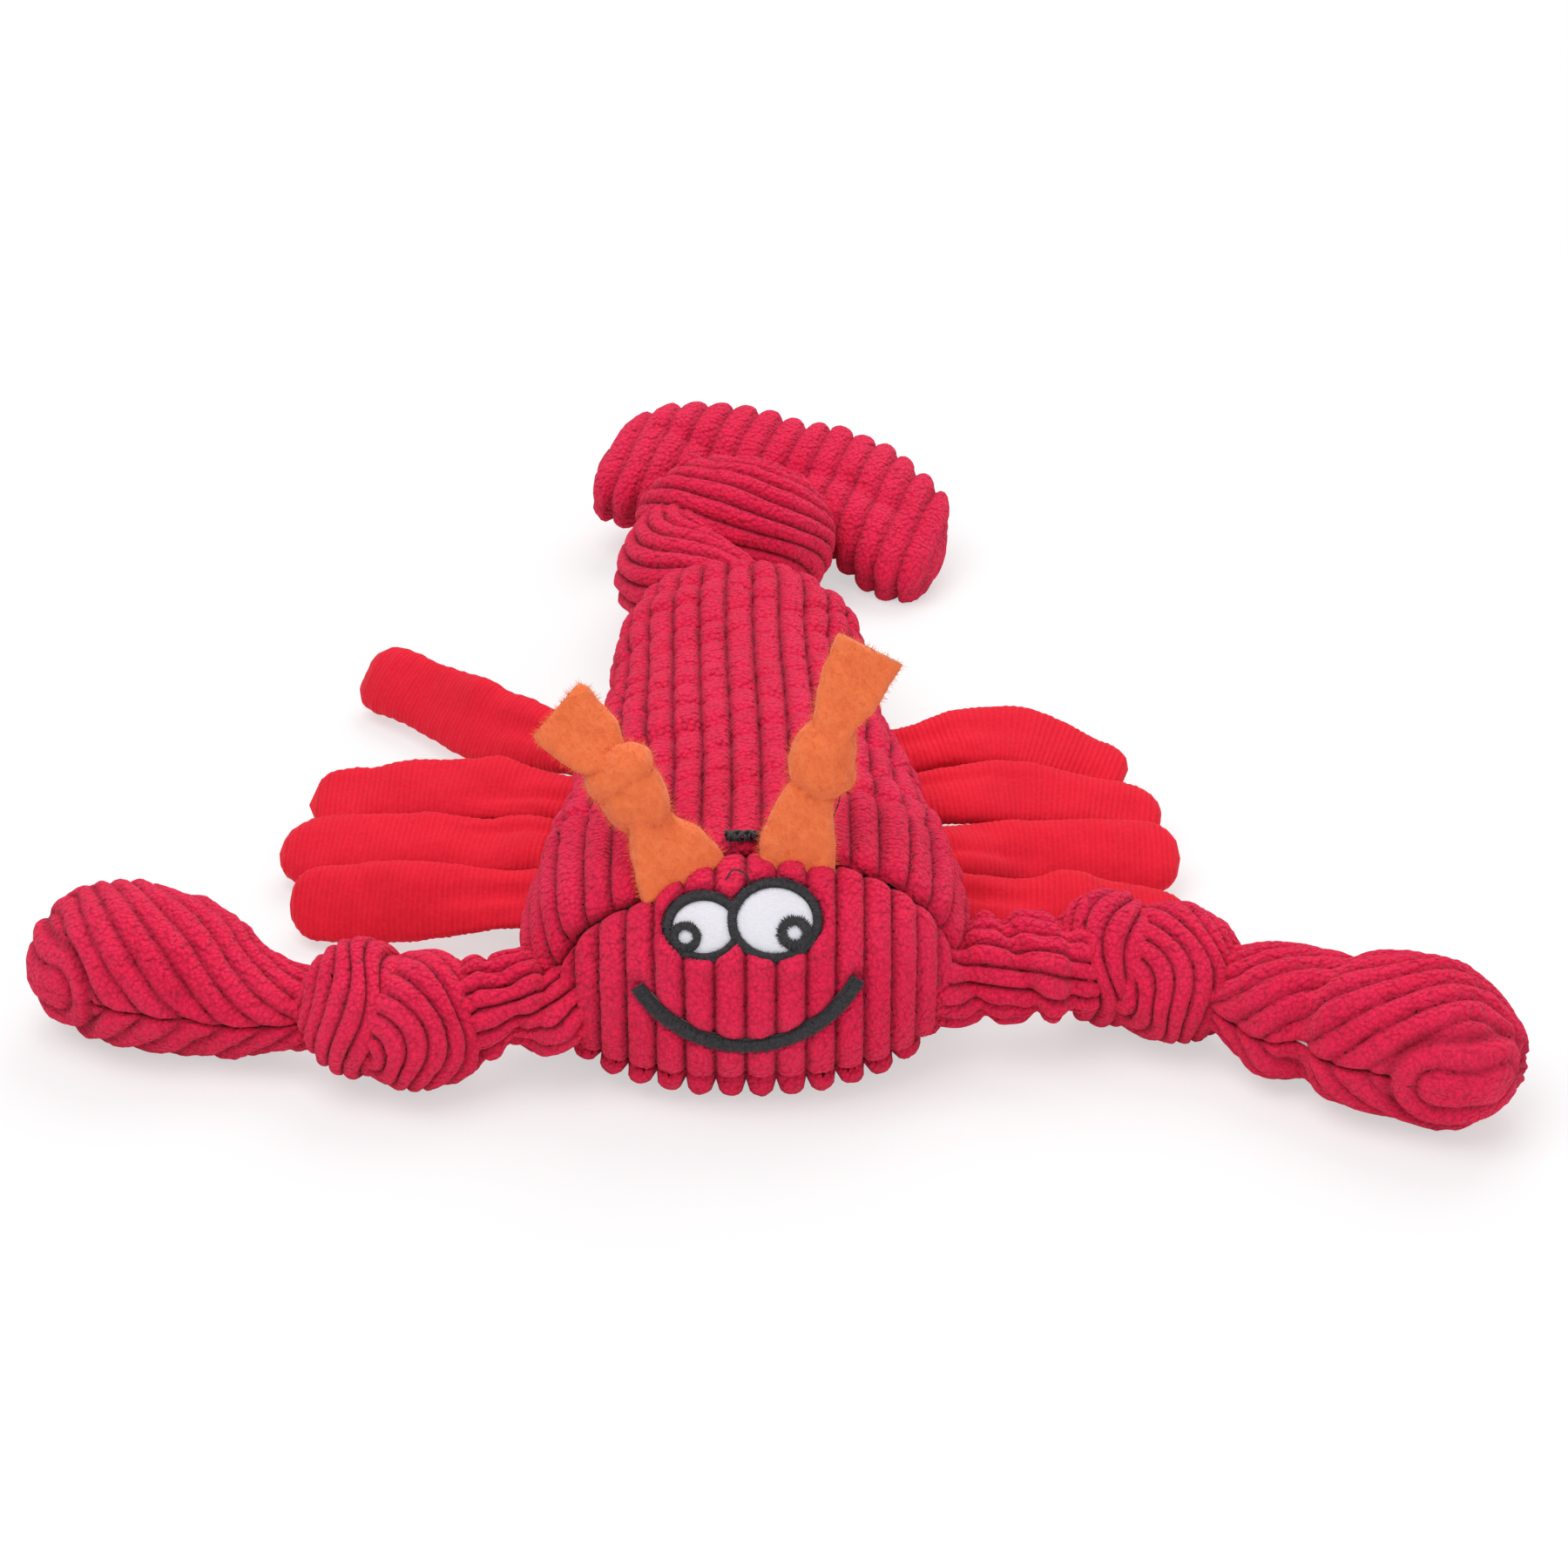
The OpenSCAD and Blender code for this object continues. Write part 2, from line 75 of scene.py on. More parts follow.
# Body outline, in millimetres, as the frame has it
CHIN_Y, TAIL_Y = -123.0, 112.0
FACE_SEAM_Y = -92.0
CHIN_SEAM_Z, SIDE_SEAM_Z = 10.0, 15.0
HEAD_W, HEAD_H, RUMP_W, RUMP_H = 112.0, 64.0, 74.0, 50.0
NOSE_LEN, RUMP_LEN = 40.0, 26.0
NOSE_Z, OPENING_Z, OPENING_R = 22.0, 24.0, 15.0
BELLY_SINK = 3.0
WIDEST = 0.44
NOSE_POWER, RING_POWER = 2.2, 2.4
GATHER_Y = 84.0
FACE_TILT = math.radians(30)


# ---------------------------------------------------------------- settings


class FabricSettings(bpy.types.PropertyGroup):
    wale_pitch: FloatProperty(
        name="Rib spacing", description="Distance between the corduroy's ribs", default=0.008,
        min=0.004, max=0.012, subtype="DISTANCE", unit="LENGTH")
    wale_height: FloatProperty(
        name="Rib height", description="Height of a corduroy rib above its groove", default=0.0026,
        min=0.001, max=0.004, subtype="DISTANCE", unit="LENGTH")
    corduroy: FloatVectorProperty(
        name="Corduroy", description="Colour of the ribbed cloth", default=(0.90, 0.020, 0.082),
        size=3, min=0, max=1, subtype="COLOR")
    velour: FloatVectorProperty(
        name="Leg velour", description="Colour of the legs", default=(0.84, 0.016, 0.040),
        size=3, min=0, max=1, subtype="COLOR")
    fleece: FloatVectorProperty(
        name="Antenna fleece", description="Colour of the antennae", default=(1.0, 0.205, 0.06),
        size=3, min=0, max=1, subtype="COLOR")
    thread: FloatVectorProperty(
        name="Black thread", description="Colour of the embroidery", default=(0.012, 0.011, 0.013),
        size=3, min=0, max=1, subtype="COLOR")


class FaceSettings(bpy.types.PropertyGroup):
    smile_width: FloatProperty(
        name="Smile width", description="Width of the stitched smile", default=0.0036,
        min=0.002, max=0.006, subtype="DISTANCE", unit="LENGTH")
    rim_width: FloatProperty(
        name="Eye rim", description="Width of the stitched rim round each eye", default=0.0026,
        min=0.0015, max=0.004, subtype="DISTANCE", unit="LENGTH")
    stitch_spacing: FloatProperty(
        name="Stitch spacing", description="Distance between two stitches", default=0.00042,
        min=0.0003, max=0.001, subtype="DISTANCE", unit="LENGTH")


def fabric():
    return bpy.context.scene.lobster_fabric


def face_settings():
    return bpy.context.scene.lobster_face


# ---------------------------------------------------------------- number helpers


def ease(t):
    t = np.clip(t, 0, 1)
    return t * t * (3 - 2 * t)


def mix(a, b, t):
    return a + (b - a) * t


def signed_power(v, p):
    return np.sign(v) * np.abs(v) ** p


def fullness(c, p):
    return np.clip(1 - np.clip(c, 0, 1) ** p, 0, 1) ** (1 / p)


def gauss(v, width):
    return np.exp(-((v / width) ** 2))


class Lattice:
    """Smooth random values in space, the same on each run."""

    def __init__(self, seed):
        self.values = np.random.RandomState(seed).rand(32, 32, 32) * 2 - 1

    def at(self, points, size):
        p = np.asarray(points, float) / np.asarray(size, float)
        base = np.floor(p).astype(int)
        f = p - base
        f = f * f * (3 - 2 * f)
        total = 0
        for corner in range(8):
            bits = [(corner >> k) & 1 for k in range(3)]
            w = 1
            idx = []
            for k in range(3):
                w = w * (f[..., k] if bits[k] else 1 - f[..., k])
                idx.append((base[..., k] + bits[k]) % 32)
            total = total + w * self.values[idx[0], idx[1], idx[2]]
        return total


FOLDS, PILE, LUMPS = Lattice(11), Lattice(23), Lattice(37)


def rib(q, softness=1.0):
    """Height of a rib, from 0 in its groove to 1 on top, for a position q counted in ribs."""
    f = np.abs((q % 1.0) * 2 - 1)
    return np.sqrt(np.clip(1 - f ** (2 * softness), 0, 1))


def rounded_end(distance, radius):
    """0 at an edge, rising as a quarter circle to 1 at radius from it."""
    d = np.clip(distance / radius, 0, 1)
    return np.sqrt(1 - (1 - d) ** 2)


def spline(points, count):
    """Evenly spaced points on a smooth curve through the given ones, any number of columns."""
    p = np.asarray(points, float)
    ext = np.vstack([2 * p[0] - p[1], p, 2 * p[-1] - p[-2]])
    fine = []
    for i in range(1, len(ext) - 2):
        t = np.linspace(0, 1, 40, endpoint=False)[:, None]
        a, b, c, d = ext[i - 1], ext[i], ext[i + 1], ext[i + 2]
        fine.append(0.5 * (2 * b + (c - a) * t + (2 * a - 5 * b + 4 * c - d) * t ** 2
                           + (3 * b - a - 3 * c + d) * t ** 3))
    fine = np.vstack(fine + [p[-1:]])
    step = np.linalg.norm(np.diff(fine[:, :3], axis=0), axis=1)
    along = np.concatenate([[0], np.cumsum(step)])
    want = np.linspace(0, along[-1], count)
    return np.stack([np.interp(want, along, fine[:, k]) for k in range(p.shape[1])], 1), along[-1]


def unit(v):
    return v / np.maximum(np.linalg.norm(v, axis=-1, keepdims=True), 1e-9)


# ---------------------------------------------------------------- mesh helpers


def grid_faces(rows, cols, wrap_rows=False, wrap_cols=False, keep=None):
    r = np.arange(rows if wrap_rows else rows - 1)
    c = np.arange(cols if wrap_cols else cols - 1)
    rr, cc = np.meshgrid(r, c, indexing="ij")
    r2, c2 = (rr + 1) % rows, (cc + 1) % cols
    quads = np.stack([rr * cols + cc, rr * cols + c2, r2 * cols + c2, r2 * cols + cc], -1).reshape(-1, 4)
    if keep is not None:
        quads = quads[keep.reshape(-1)[quads].all(1)]
    return quads


def grid_normals(grid, wrap_rows=False, wrap_cols=False, away=None):
    """Unit normals of a grid of points, turned away from the given inner points."""
    def slope(g, axis, wrap):
        if wrap:
            return np.roll(g, -1, axis) - np.roll(g, 1, axis)
        return np.gradient(g, axis=axis)
    normal = unit(np.cross(slope(grid, 1, wrap_cols), slope(grid, 0, wrap_rows)))
    if away is not None and np.sum(normal * (grid - away)) < 0:
        normal = -normal
    return normal


def seam_forward(x):
    """How far the seam above the face comes forward at x: more on the left."""
    return np.where(x < 0, 12.0 * ease(-x / 30), 3.0 * ease(x / 45))


def tube_faces(grid, normal):
    """Outward faces of a tube with closed ends."""
    rows, cols = grid.shape[:2]
    faces = grid_faces(rows, cols, wrap_cols=True)
    turned = outward_faces(grid, normal, faces)
    flip = turned is not faces
    return [list(f) for f in turned] + end_caps(rows, cols, flip)


def end_caps(rows, cols, flip):
    """A face for each open end of a tube of points."""
    first, final = list(range(cols)), [(rows - 1) * cols + k for k in range(cols)]
    return [first if flip else first[::-1], final[::-1] if flip else final]


def outward_faces(grid, normal, faces):
    """The faces of a grid, turned so that they look along its normals."""
    r, c = grid.shape[0] // 2, grid.shape[1] // 2
    looks = np.cross(grid[r, c + 1] - grid[r, c], grid[r + 1, c] - grid[r, c])
    return faces[:, ::-1] if np.sum(looks * normal[r, c]) < 0 else faces


class Shape:
    """Vertices and faces gathered from several grids, with a rib-depth value for each vertex, which the
    corduroy also uses as a mask for painted shade.
    """

    def __init__(self):
        self.verts, self.faces, self.depth, self.count = [], [], [], 0

    def add(self, verts, faces, depth=None):
        verts = np.asarray(verts, float).reshape(-1, 3)
        depth = np.ones(len(verts)) if depth is None else np.asarray(depth, float).reshape(-1)
        self.verts.append(verts)
        self.depth.append(depth)
        self.faces.extend((np.asarray(f) + self.count).tolist() for f in faces)
        self.count += len(verts)

    def build(self, name, material, thickness=0):
        verts, depth = np.vstack(self.verts), np.concatenate(self.depth)
        used = np.zeros(len(verts), bool)
        used[[i for f in self.faces for i in f]] = True
        index = np.cumsum(used) - 1
        mesh = bpy.data.meshes.new(name)
        mesh.from_pydata((verts[used] * MM).tolist(), [], [[int(index[i]) for i in f] for f in self.faces])
        mesh.attributes.new("rib_height", "FLOAT", "POINT").data.foreach_set("value", depth[used])
        mesh.validate()
        mesh.shade_smooth()
        obj = bpy.data.objects.new(name, mesh)
        bpy.context.scene.collection.objects.link(obj)
        mesh.materials.append(material)
        if thickness:
            shell = obj.modifiers.new("cloth", "SOLIDIFY")
            shell.thickness = thickness * MM
            shell.offset = -1
            apply_modifiers(obj)
        return obj


def apply_modifiers(obj):
    depsgraph = bpy.context.evaluated_depsgraph_get()
    depsgraph.update()
    mesh = bpy.data.meshes.new_from_object(obj.evaluated_get(depsgraph))
    obj.modifiers.clear()
    old, obj.data = obj.data, mesh
    bpy.data.meshes.remove(old)
    mesh.name = obj.name


def dress(obj, body, nodes=(), blend=None):
    """Puts a finished piece on its body, or, for a piece given a blend, only bakes its placement into its
    mesh; hides the parts it stands for.
    """
    if blend:
        other, start, end = blend
        tuple(v * MM for v in start)
        tuple(v * MM for v in end)
        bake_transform(obj)
    else:
        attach(obj, body)
    if nodes:
        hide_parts(*nodes)
    return obj


# ---------------------------------------------------------------- shader helpers


class Wire:
    """A node socket that can be used in Python expressions."""

    def __init__(self, tree, socket):
        self.tree, self.socket = tree, socket

    def other(self, name):
        """Another output of the same node."""
        return Wire(self.tree, self.socket.node.outputs[name])

    def _math(self, operation, *values, clamp=False):
        return self.tree.node("ShaderNodeMath", {"operation": operation, "use_clamp": clamp}, *values)

    def __add__(self, other):
        return self._math("ADD", self, other)

    def __radd__(self, other):
        return self._math("ADD", other, self)

    def __sub__(self, other):
        return self._math("SUBTRACT", self, other)

    def __rsub__(self, other):
        return self._math("SUBTRACT", other, self)

    def __mul__(self, other):
        return self._math("MULTIPLY", self, other)

    def __rmul__(self, other):
        return self._math("MULTIPLY", other, self)

    def __truediv__(self, other):
        return self._math("DIVIDE", self, other)

    def __pow__(self, other):
        return self._math("POWER", self, other)

    def sine(self):
        return self._math("SINE", self)

    def clamped(self):
        return self._math("ADD", self, 0.0, clamp=True)


class NodeWriter:
    """A node tree being written: node() makes any node, sets it up and joins its sockets."""

    def __init__(self, tree):
        self.nodes, self.links = tree.nodes, tree.links
        self.nodes.clear()

    def join(self, socket, value):
        if isinstance(value, Wire):
            self.links.new(value.socket, socket)
        else:
            socket.default_value = value

    def node(self, kind, settings=None, *values, output=0, inputs=None, **named):
        made = self.nodes.new(kind)
        for key, value in (settings or {}).items():
            setattr(made, key, value)
        for key, value in [*enumerate(values), *named.items(), *(inputs or {}).items()]:
            self.join(made.inputs[key.replace("_", " ") if isinstance(key, str) else key], value)
        return Wire(self, made.outputs[output]) if len(made.outputs) else None

    def random(self, kind, low, high, seed):
        """A random number or vector, between low and high, for each point."""
        made = self.nodes.new("FunctionNodeRandomValue")
        made.data_type = kind
        wanted = "VECTOR" if kind == "FLOAT_VECTOR" else "VALUE"
        limits = [socket for socket in made.inputs if socket.type == wanted]
        limits[0].default_value, limits[1].default_value = low, high
        self.join(made.inputs["Seed"], seed)
        return Wire(self, next(socket for socket in made.outputs if socket.type == wanted))


class Recipe(NodeWriter):
    """A material being written."""

    def __init__(self, name):
        self.material = bpy.data.materials.new(name)
        self.material.use_nodes = True
        super().__init__(self.material.node_tree)

    def place(self):
        return self.node("ShaderNodeTexCoord", output="Object")

    def noise(self, scale, detail=2.0, vector=None, roughness=0.5):
        return self.node("ShaderNodeTexNoise", None, Vector=vector or self.place(), Scale=scale,
                         Detail=detail, Roughness=roughness, output=0)

    def cells(self, scale, vector=None):
        return self.node("ShaderNodeTexVoronoi", {"feature": "F1"}, Vector=vector or self.place(),
                         Scale=scale, output="Distance")

    def mixed(self, factor, first, second):
        made = self.nodes.new("ShaderNodeMix")
        made.data_type = "RGBA"
        by_id = {s.identifier: s for s in made.inputs}
        for key, value in (("Factor_Float", factor), ("A_Color", first), ("B_Color", second)):
            self.join(by_id[key], value)
        return Wire(self, next(s for s in made.outputs if s.identifier == "Result_Color"))

    def bump(self, height, distance, strength=1.0, under=None):
        named = {"Height": height, "Distance": distance, "Strength": strength}
        if under is not None:
            named["Normal"] = under
        return self.node("ShaderNodeBump", None, **named)

    def finish(self, colour, roughness, normal=None, **plain):
        if normal is not None:
            plain["Normal"] = normal
        shader = self.node("ShaderNodeBsdfPrincipled", None, Base_Color=colour, Roughness=roughness, **plain)
        self.node("ShaderNodeOutputMaterial", None, Surface=shader)
        return self.material


def rgba(colour, level=1.0):
    return (*(min(1.0, c * level) for c in colour[:3]), 1.0)


def once(name, maker):
    return bpy.data.materials.get(name) or maker(name)


def corduroy():
    def make(name):
        r = Recipe(name)
        base = fabric().corduroy
        depth = r.node("ShaderNodeAttribute", {"attribute_name": "rib_height"}, output="Fac")
        loops = r.cells(700.0)
        tufts = r.noise(420.0, 3.0)
        patches = r.noise(38.0, 2.0)
        worn = r.noise(9.0, 1.0)
        # painted shade: the colour darkens to 0.30 of the base where rib_height is low, in the grooves
        # between ribs and where the ribs flatten at seams, round the eyes, along the smile and on the claw
        # tip's seam
        shade = r.mixed((depth * 1.25 - 0.1).clamped(), rgba(base, 0.30), rgba(base))
        shade = r.mixed((loops * 1.3 - 0.25).clamped() * 0.6, shade, rgba(base, 0.52))
        light = (base[0] * 1.12, base[1] * 2.1 + 0.012, base[2] * 1.55 + 0.012)
        shade = r.mixed((patches * 1.6 - 0.55).clamped() * 0.45, shade, rgba(light))
        shade = r.mixed((worn * 2.0 - 0.9).clamped() * 0.35, shade, rgba(base, 0.82))
        coarse = r.bump(loops * -1.0, 0.0013, 1.0)
        fine = r.bump(tufts, 0.0009, 0.9, under=coarse)
        return r.finish(shade, 0.93, fine, Sheen_Weight=0.16, Sheen_Roughness=0.4,
                        Sheen_Tint=(1.0, 0.45, 0.55, 1.0), Specular_IOR_Level=0.08)
    return once("crimson_corduroy", make)


def velour():
    def make(name):
        r = Recipe(name)
        base = fabric().velour
        rows = r.node("ShaderNodeAttribute", {"attribute_name": "knit_row"}, output="Fac")
        wave = (rows * 6.28318).sine() * 0.5 + 0.5
        nap = r.noise(900.0, 2.0)
        patches = r.noise(45.0, 3.0)
        # painted shade: the grooves between knit rows, where the bump sinks, are coloured darker, down to
        # 0.66 of the base
        shade = r.mixed(wave * 0.35, rgba(base), rgba(base, 0.66))
        shade = r.mixed((patches * 1.8 - 0.6).clamped() * 0.5, shade, rgba(base, 0.7))
        lit = (base[0] * 1.15, base[1] * 1.9 + 0.01, base[2] * 1.4 + 0.01)
        shade = r.mixed((nap * 2.0 - 1.0).clamped() * 0.5, shade, rgba(lit))
        coarse = r.bump(wave * -1.0, 0.0003, 0.7)
        fine = r.bump(nap, 0.00025, 0.7, under=coarse)
        return r.finish(shade, 0.82, fine, Sheen_Weight=0.2, Sheen_Roughness=0.35,
                        Sheen_Tint=(1.0, 0.4, 0.4, 1.0), Specular_IOR_Level=0.1)
    return once("red_velour", make)


def fleece():
    def make(name):
        r = Recipe(name)
        base = fabric().fleece
        curls = r.noise(300.0, 4.0, roughness=0.7)
        pills = r.cells(260.0)
        clouds = r.noise(60.0, 2.0)
        shade = r.mixed((curls * 1.8 - 0.5).clamped() * 0.55, rgba(base, 0.8),
                        rgba((base[0], base[1] * 1.35, base[2] * 1.9)))
        shade = r.mixed((clouds * 1.6 - 0.5).clamped() * 0.3, shade, rgba(base, 0.86))
        coarse = r.bump(pills, 0.0008, 0.5)
        fine = r.bump(curls, 0.001, 0.8, under=coarse)
        return r.finish(shade, 0.95, fine, Sheen_Weight=0.5, Sheen_Roughness=0.5,
                        Sheen_Tint=(1.0, 0.75, 0.55, 1.0), Specular_IOR_Level=0.08)
    return once("orange_fleece", make)


def white_patch():
    def make(name):
        r = Recipe(name)
        place = r.place()
        weave = r.noise(1500.0, 1.0, place)
        shade = r.mixed((weave * 1.5 - 0.4).clamped() * 0.6, (0.80, 0.78, 0.82, 1), (0.66, 0.64, 0.72, 1))
        return r.finish(shade, 0.8, r.bump(weave, 0.0003, 0.5), Sheen_Weight=0.1, Specular_IOR_Level=0.2)
    return once("white_woven_patch", make)


def black_thread():
    def make(name):
        r = Recipe(name)
        base = fabric().thread
        strands = r.noise(1100.0, 2.0)
        shade = r.mixed((strands * 2.2 - 0.8).clamped() * 0.7, rgba(base), (0.06, 0.056, 0.064, 1))
        return r.finish(shade, 0.55, r.bump(strands, 0.0002, 0.6), Sheen_Weight=0.3,
                        Sheen_Roughness=0.3, Specular_IOR_Level=0.4)
    return once("black_satin_thread", make)


def filling():
    def make(name):
        r = Recipe(name)
        fluff = r.noise(160.0, 5.0, roughness=0.75)
        shade = r.mixed(fluff, (0.7, 0.7, 0.68, 1), (0.9, 0.9, 0.88, 1))
        return r.finish(shade, 0.95, r.bump(fluff, 0.002, 0.8), Sheen_Weight=0.4)
    return once("polyester_filling", make)


def squeaker_plastic():
    def make(name):
        r = Recipe(name)
        haze = r.noise(70.0, 3.0)
        shade = r.mixed(haze, (0.74, 0.73, 0.68, 1), (0.84, 0.83, 0.79, 1))
        return r.finish(shade, 0.42 + haze * 0.15, r.bump(haze, 0.0004, 0.3))
    return once("milky_plastic", make)


# ---------------------------------------------------------------- body outline


def plan_half(y):
    return mix(HEAD_W, RUMP_W, ease((y - CHIN_Y - 43) / (235 * 0.72))) / 2


def plan_top(y):
    return mix(HEAD_H, RUMP_H, ease((y - CHIN_Y - 43) / (235 * 0.81)))


def shift_x(y):
    """The body lies slightly bent: how far its middle is to the side at y."""
    return -3.4 * ease((y + 70) / 150)


def ring_sizes(y):
    nose = fullness((CHIN_Y + NOSE_LEN - y) / NOSE_LEN, NOSE_POWER)
    rump = fullness((y - TAIL_Y + RUMP_LEN) / RUMP_LEN, NOSE_POWER)
    front = y < 0
    full = np.where(front, nose, rump)
    half = mix(np.where(front, 0, OPENING_R), plan_half(y), full)
    top = mix(np.where(front, NOSE_Z, OPENING_Z + OPENING_R), plan_top(y), full)
    bottom = mix(np.where(front, NOSE_Z, OPENING_Z - OPENING_R), -BELLY_SINK, full)
    return half, top, bottom, mix(bottom, top, WIDEST)


def ring(y, count=721):
    """One section of the body at y as (x, z), from the bottom middle round the right side and back."""
    half, top, bottom, middle = ring_sizes(np.float64(y))
    a = np.linspace(-math.pi / 2, 1.5 * math.pi, count)
    up = signed_power(np.sin(a), 2 / RING_POWER)
    x = half * signed_power(np.cos(a), 2 / RING_POWER)
    z = middle + np.where(up > 0, up * (top - middle), up * (middle - bottom))
    return x, np.maximum(z, 0)


def wrinkles(points, ribs_across, strength):
    """Irregular creases that cross the ribs on the back, at a place of their own on each rib."""
    y = points[..., 1]
    index = np.floor(ribs_across).astype(int)
    own = np.random.RandomState(5).uniform(-5.5, 5.5, 64)[index % 64]
    wobble = FOLDS.at(points, (34, 40, 34)) * 10
    bands = np.abs((((y + wobble + own) / 16.5) % 1.0) * 2 - 1)
    broken = 0.62 + 0.55 * FOLDS.at(points + 71, (9, 13, 30))
    away = (1 - bands) * 8.25
    crease = gauss(away, 1.9) + 0.4 * gauss(away, 4.2)
    return -crease * np.clip(broken, 0.05, 1.1) * strength + LUMPS.at(points, (20, 15, 20)) * 1.1


def pile(points, height=0.26):
    return PILE.at(points, (1.5, 1.5, 1.5)) * height


# ---------------------------------------------------------------- body panels


def back_panel():
    pitch = fabric().wale_pitch / MM
    height = fabric().wale_height / MM
    front = np.arange(FACE_SEAM_Y - 22.5, FACE_SEAM_Y, 1.25)
    rear = TAIL_Y - RUMP_LEN * (1 - np.sin(np.linspace(0, math.pi / 2, 34)))
    ys = np.concatenate([np.arange(FACE_SEAM_Y, TAIL_Y - RUMP_LEN, 1.25), rear])
    all_ys = np.concatenate([front, ys])
    arcs = []
    for y in all_ys:
        x, z = ring(y)
        half = len(x) // 2
        x, z = x[:half + 1][::-1], z[:half + 1][::-1]
        s = np.concatenate([[0], np.cumsum(np.hypot(np.diff(x), np.diff(z)))])
        arcs.append((x, z, s, np.interp(-SIDE_SEAM_Z, -z, s)))
    lengths = np.array([a[3] for a in arcs])
    cols = np.arange(0, lengths.max() + pitch / 8, pitch / 8)
    cols = np.concatenate([-cols[:0:-1], cols])
    gathered = lengths[int(np.argmax(all_ys >= GATHER_Y))]
    scales = np.where(all_ys >= GATHER_Y, lengths / gathered, 1.0)
    smooth = np.zeros((len(all_ys), len(cols), 2))
    for i, (x, z, s, length) in enumerate(arcs):
        want = np.clip(np.abs(cols) * scales[i], 0, length)
        smooth[i] = np.stack([np.sign(cols) * np.interp(want, s, x), np.interp(want, s, z)], 1)
    # the seam above the face comes forward, so the first rows are taken from further ahead
    near = smooth[len(front), :, 0]
    target = ys[:, None] - seam_forward(near)[None, :] * (1 - ease((ys[:, None] - FACE_SEAM_Y) / 34))
    grid = np.zeros((len(ys), len(cols), 3))
    length = np.zeros(grid.shape[:2])
    for j in range(len(cols)):
        grid[:, j, 0] = np.interp(target[:, j], all_ys, smooth[:, j, 0]) + shift_x(ys)
        grid[:, j, 1] = target[:, j]
        grid[:, j, 2] = np.interp(target[:, j], all_ys, smooth[:, j, 1])
        length[:, j] = np.interp(target[:, j], all_ys, lengths)
    scale = scales[len(front):][:, None]
    keep = np.abs(cols)[None, :] * scale <= length + pitch / 16
    edge = np.clip(length - np.abs(cols)[None, :] * scale, 0, None)
    normal = grid_normals(grid, away=np.array([0, 0, 20.0]))
    q = cols / pitch + 0.5
    ribs = rib(q)[None, :] * np.ones((len(ys), 1))
    front_edge = np.concatenate([[0], np.cumsum(np.diff(ys))])[:, None] * np.ones((1, len(cols)))
    ribs = ribs * rounded_end(front_edge + 0.3, 4.5) * rounded_end(edge + 0.4, 3.5)
    lift = ribs * height * mix(0.55, 1, np.minimum(scale, 1)) - 1.0
    lift = lift - 3.0 * (1 - rounded_end(front_edge + 0.3, 5.0)) - 1.6 * (1 - rounded_end(edge, 3.5))
    lift = lift + wrinkles(grid, q[None, :] + 0 * grid[..., 0],
                           2.3) * ease((grid[..., 1] + 84) / 36) * np.clip(edge / 12, 0, 1)
    side = ease((np.abs(cols) - 24) / 26)[None, :]
    folds = np.sin((edge + 5 * FOLDS.at(grid, (30, 30, 30))) / 15 * 2 * math.pi)
    lift = lift + (2.4 * gauss(ys + 70, 26)[:, None] + 1.0 * folds
                   * gauss(ys + 62, 40)[:, None]) * side + pile(grid)
    grid = grid + normal * lift[..., None]
    shape = Shape()
    shape.add(grid, outward_faces(grid, normal, grid_faces(*keep.shape, keep=keep)), ribs)
    obj = shape.build("back_cloth", corduroy(), thickness=1.2)
    return dress(obj, "trunk", ["back_panel"])


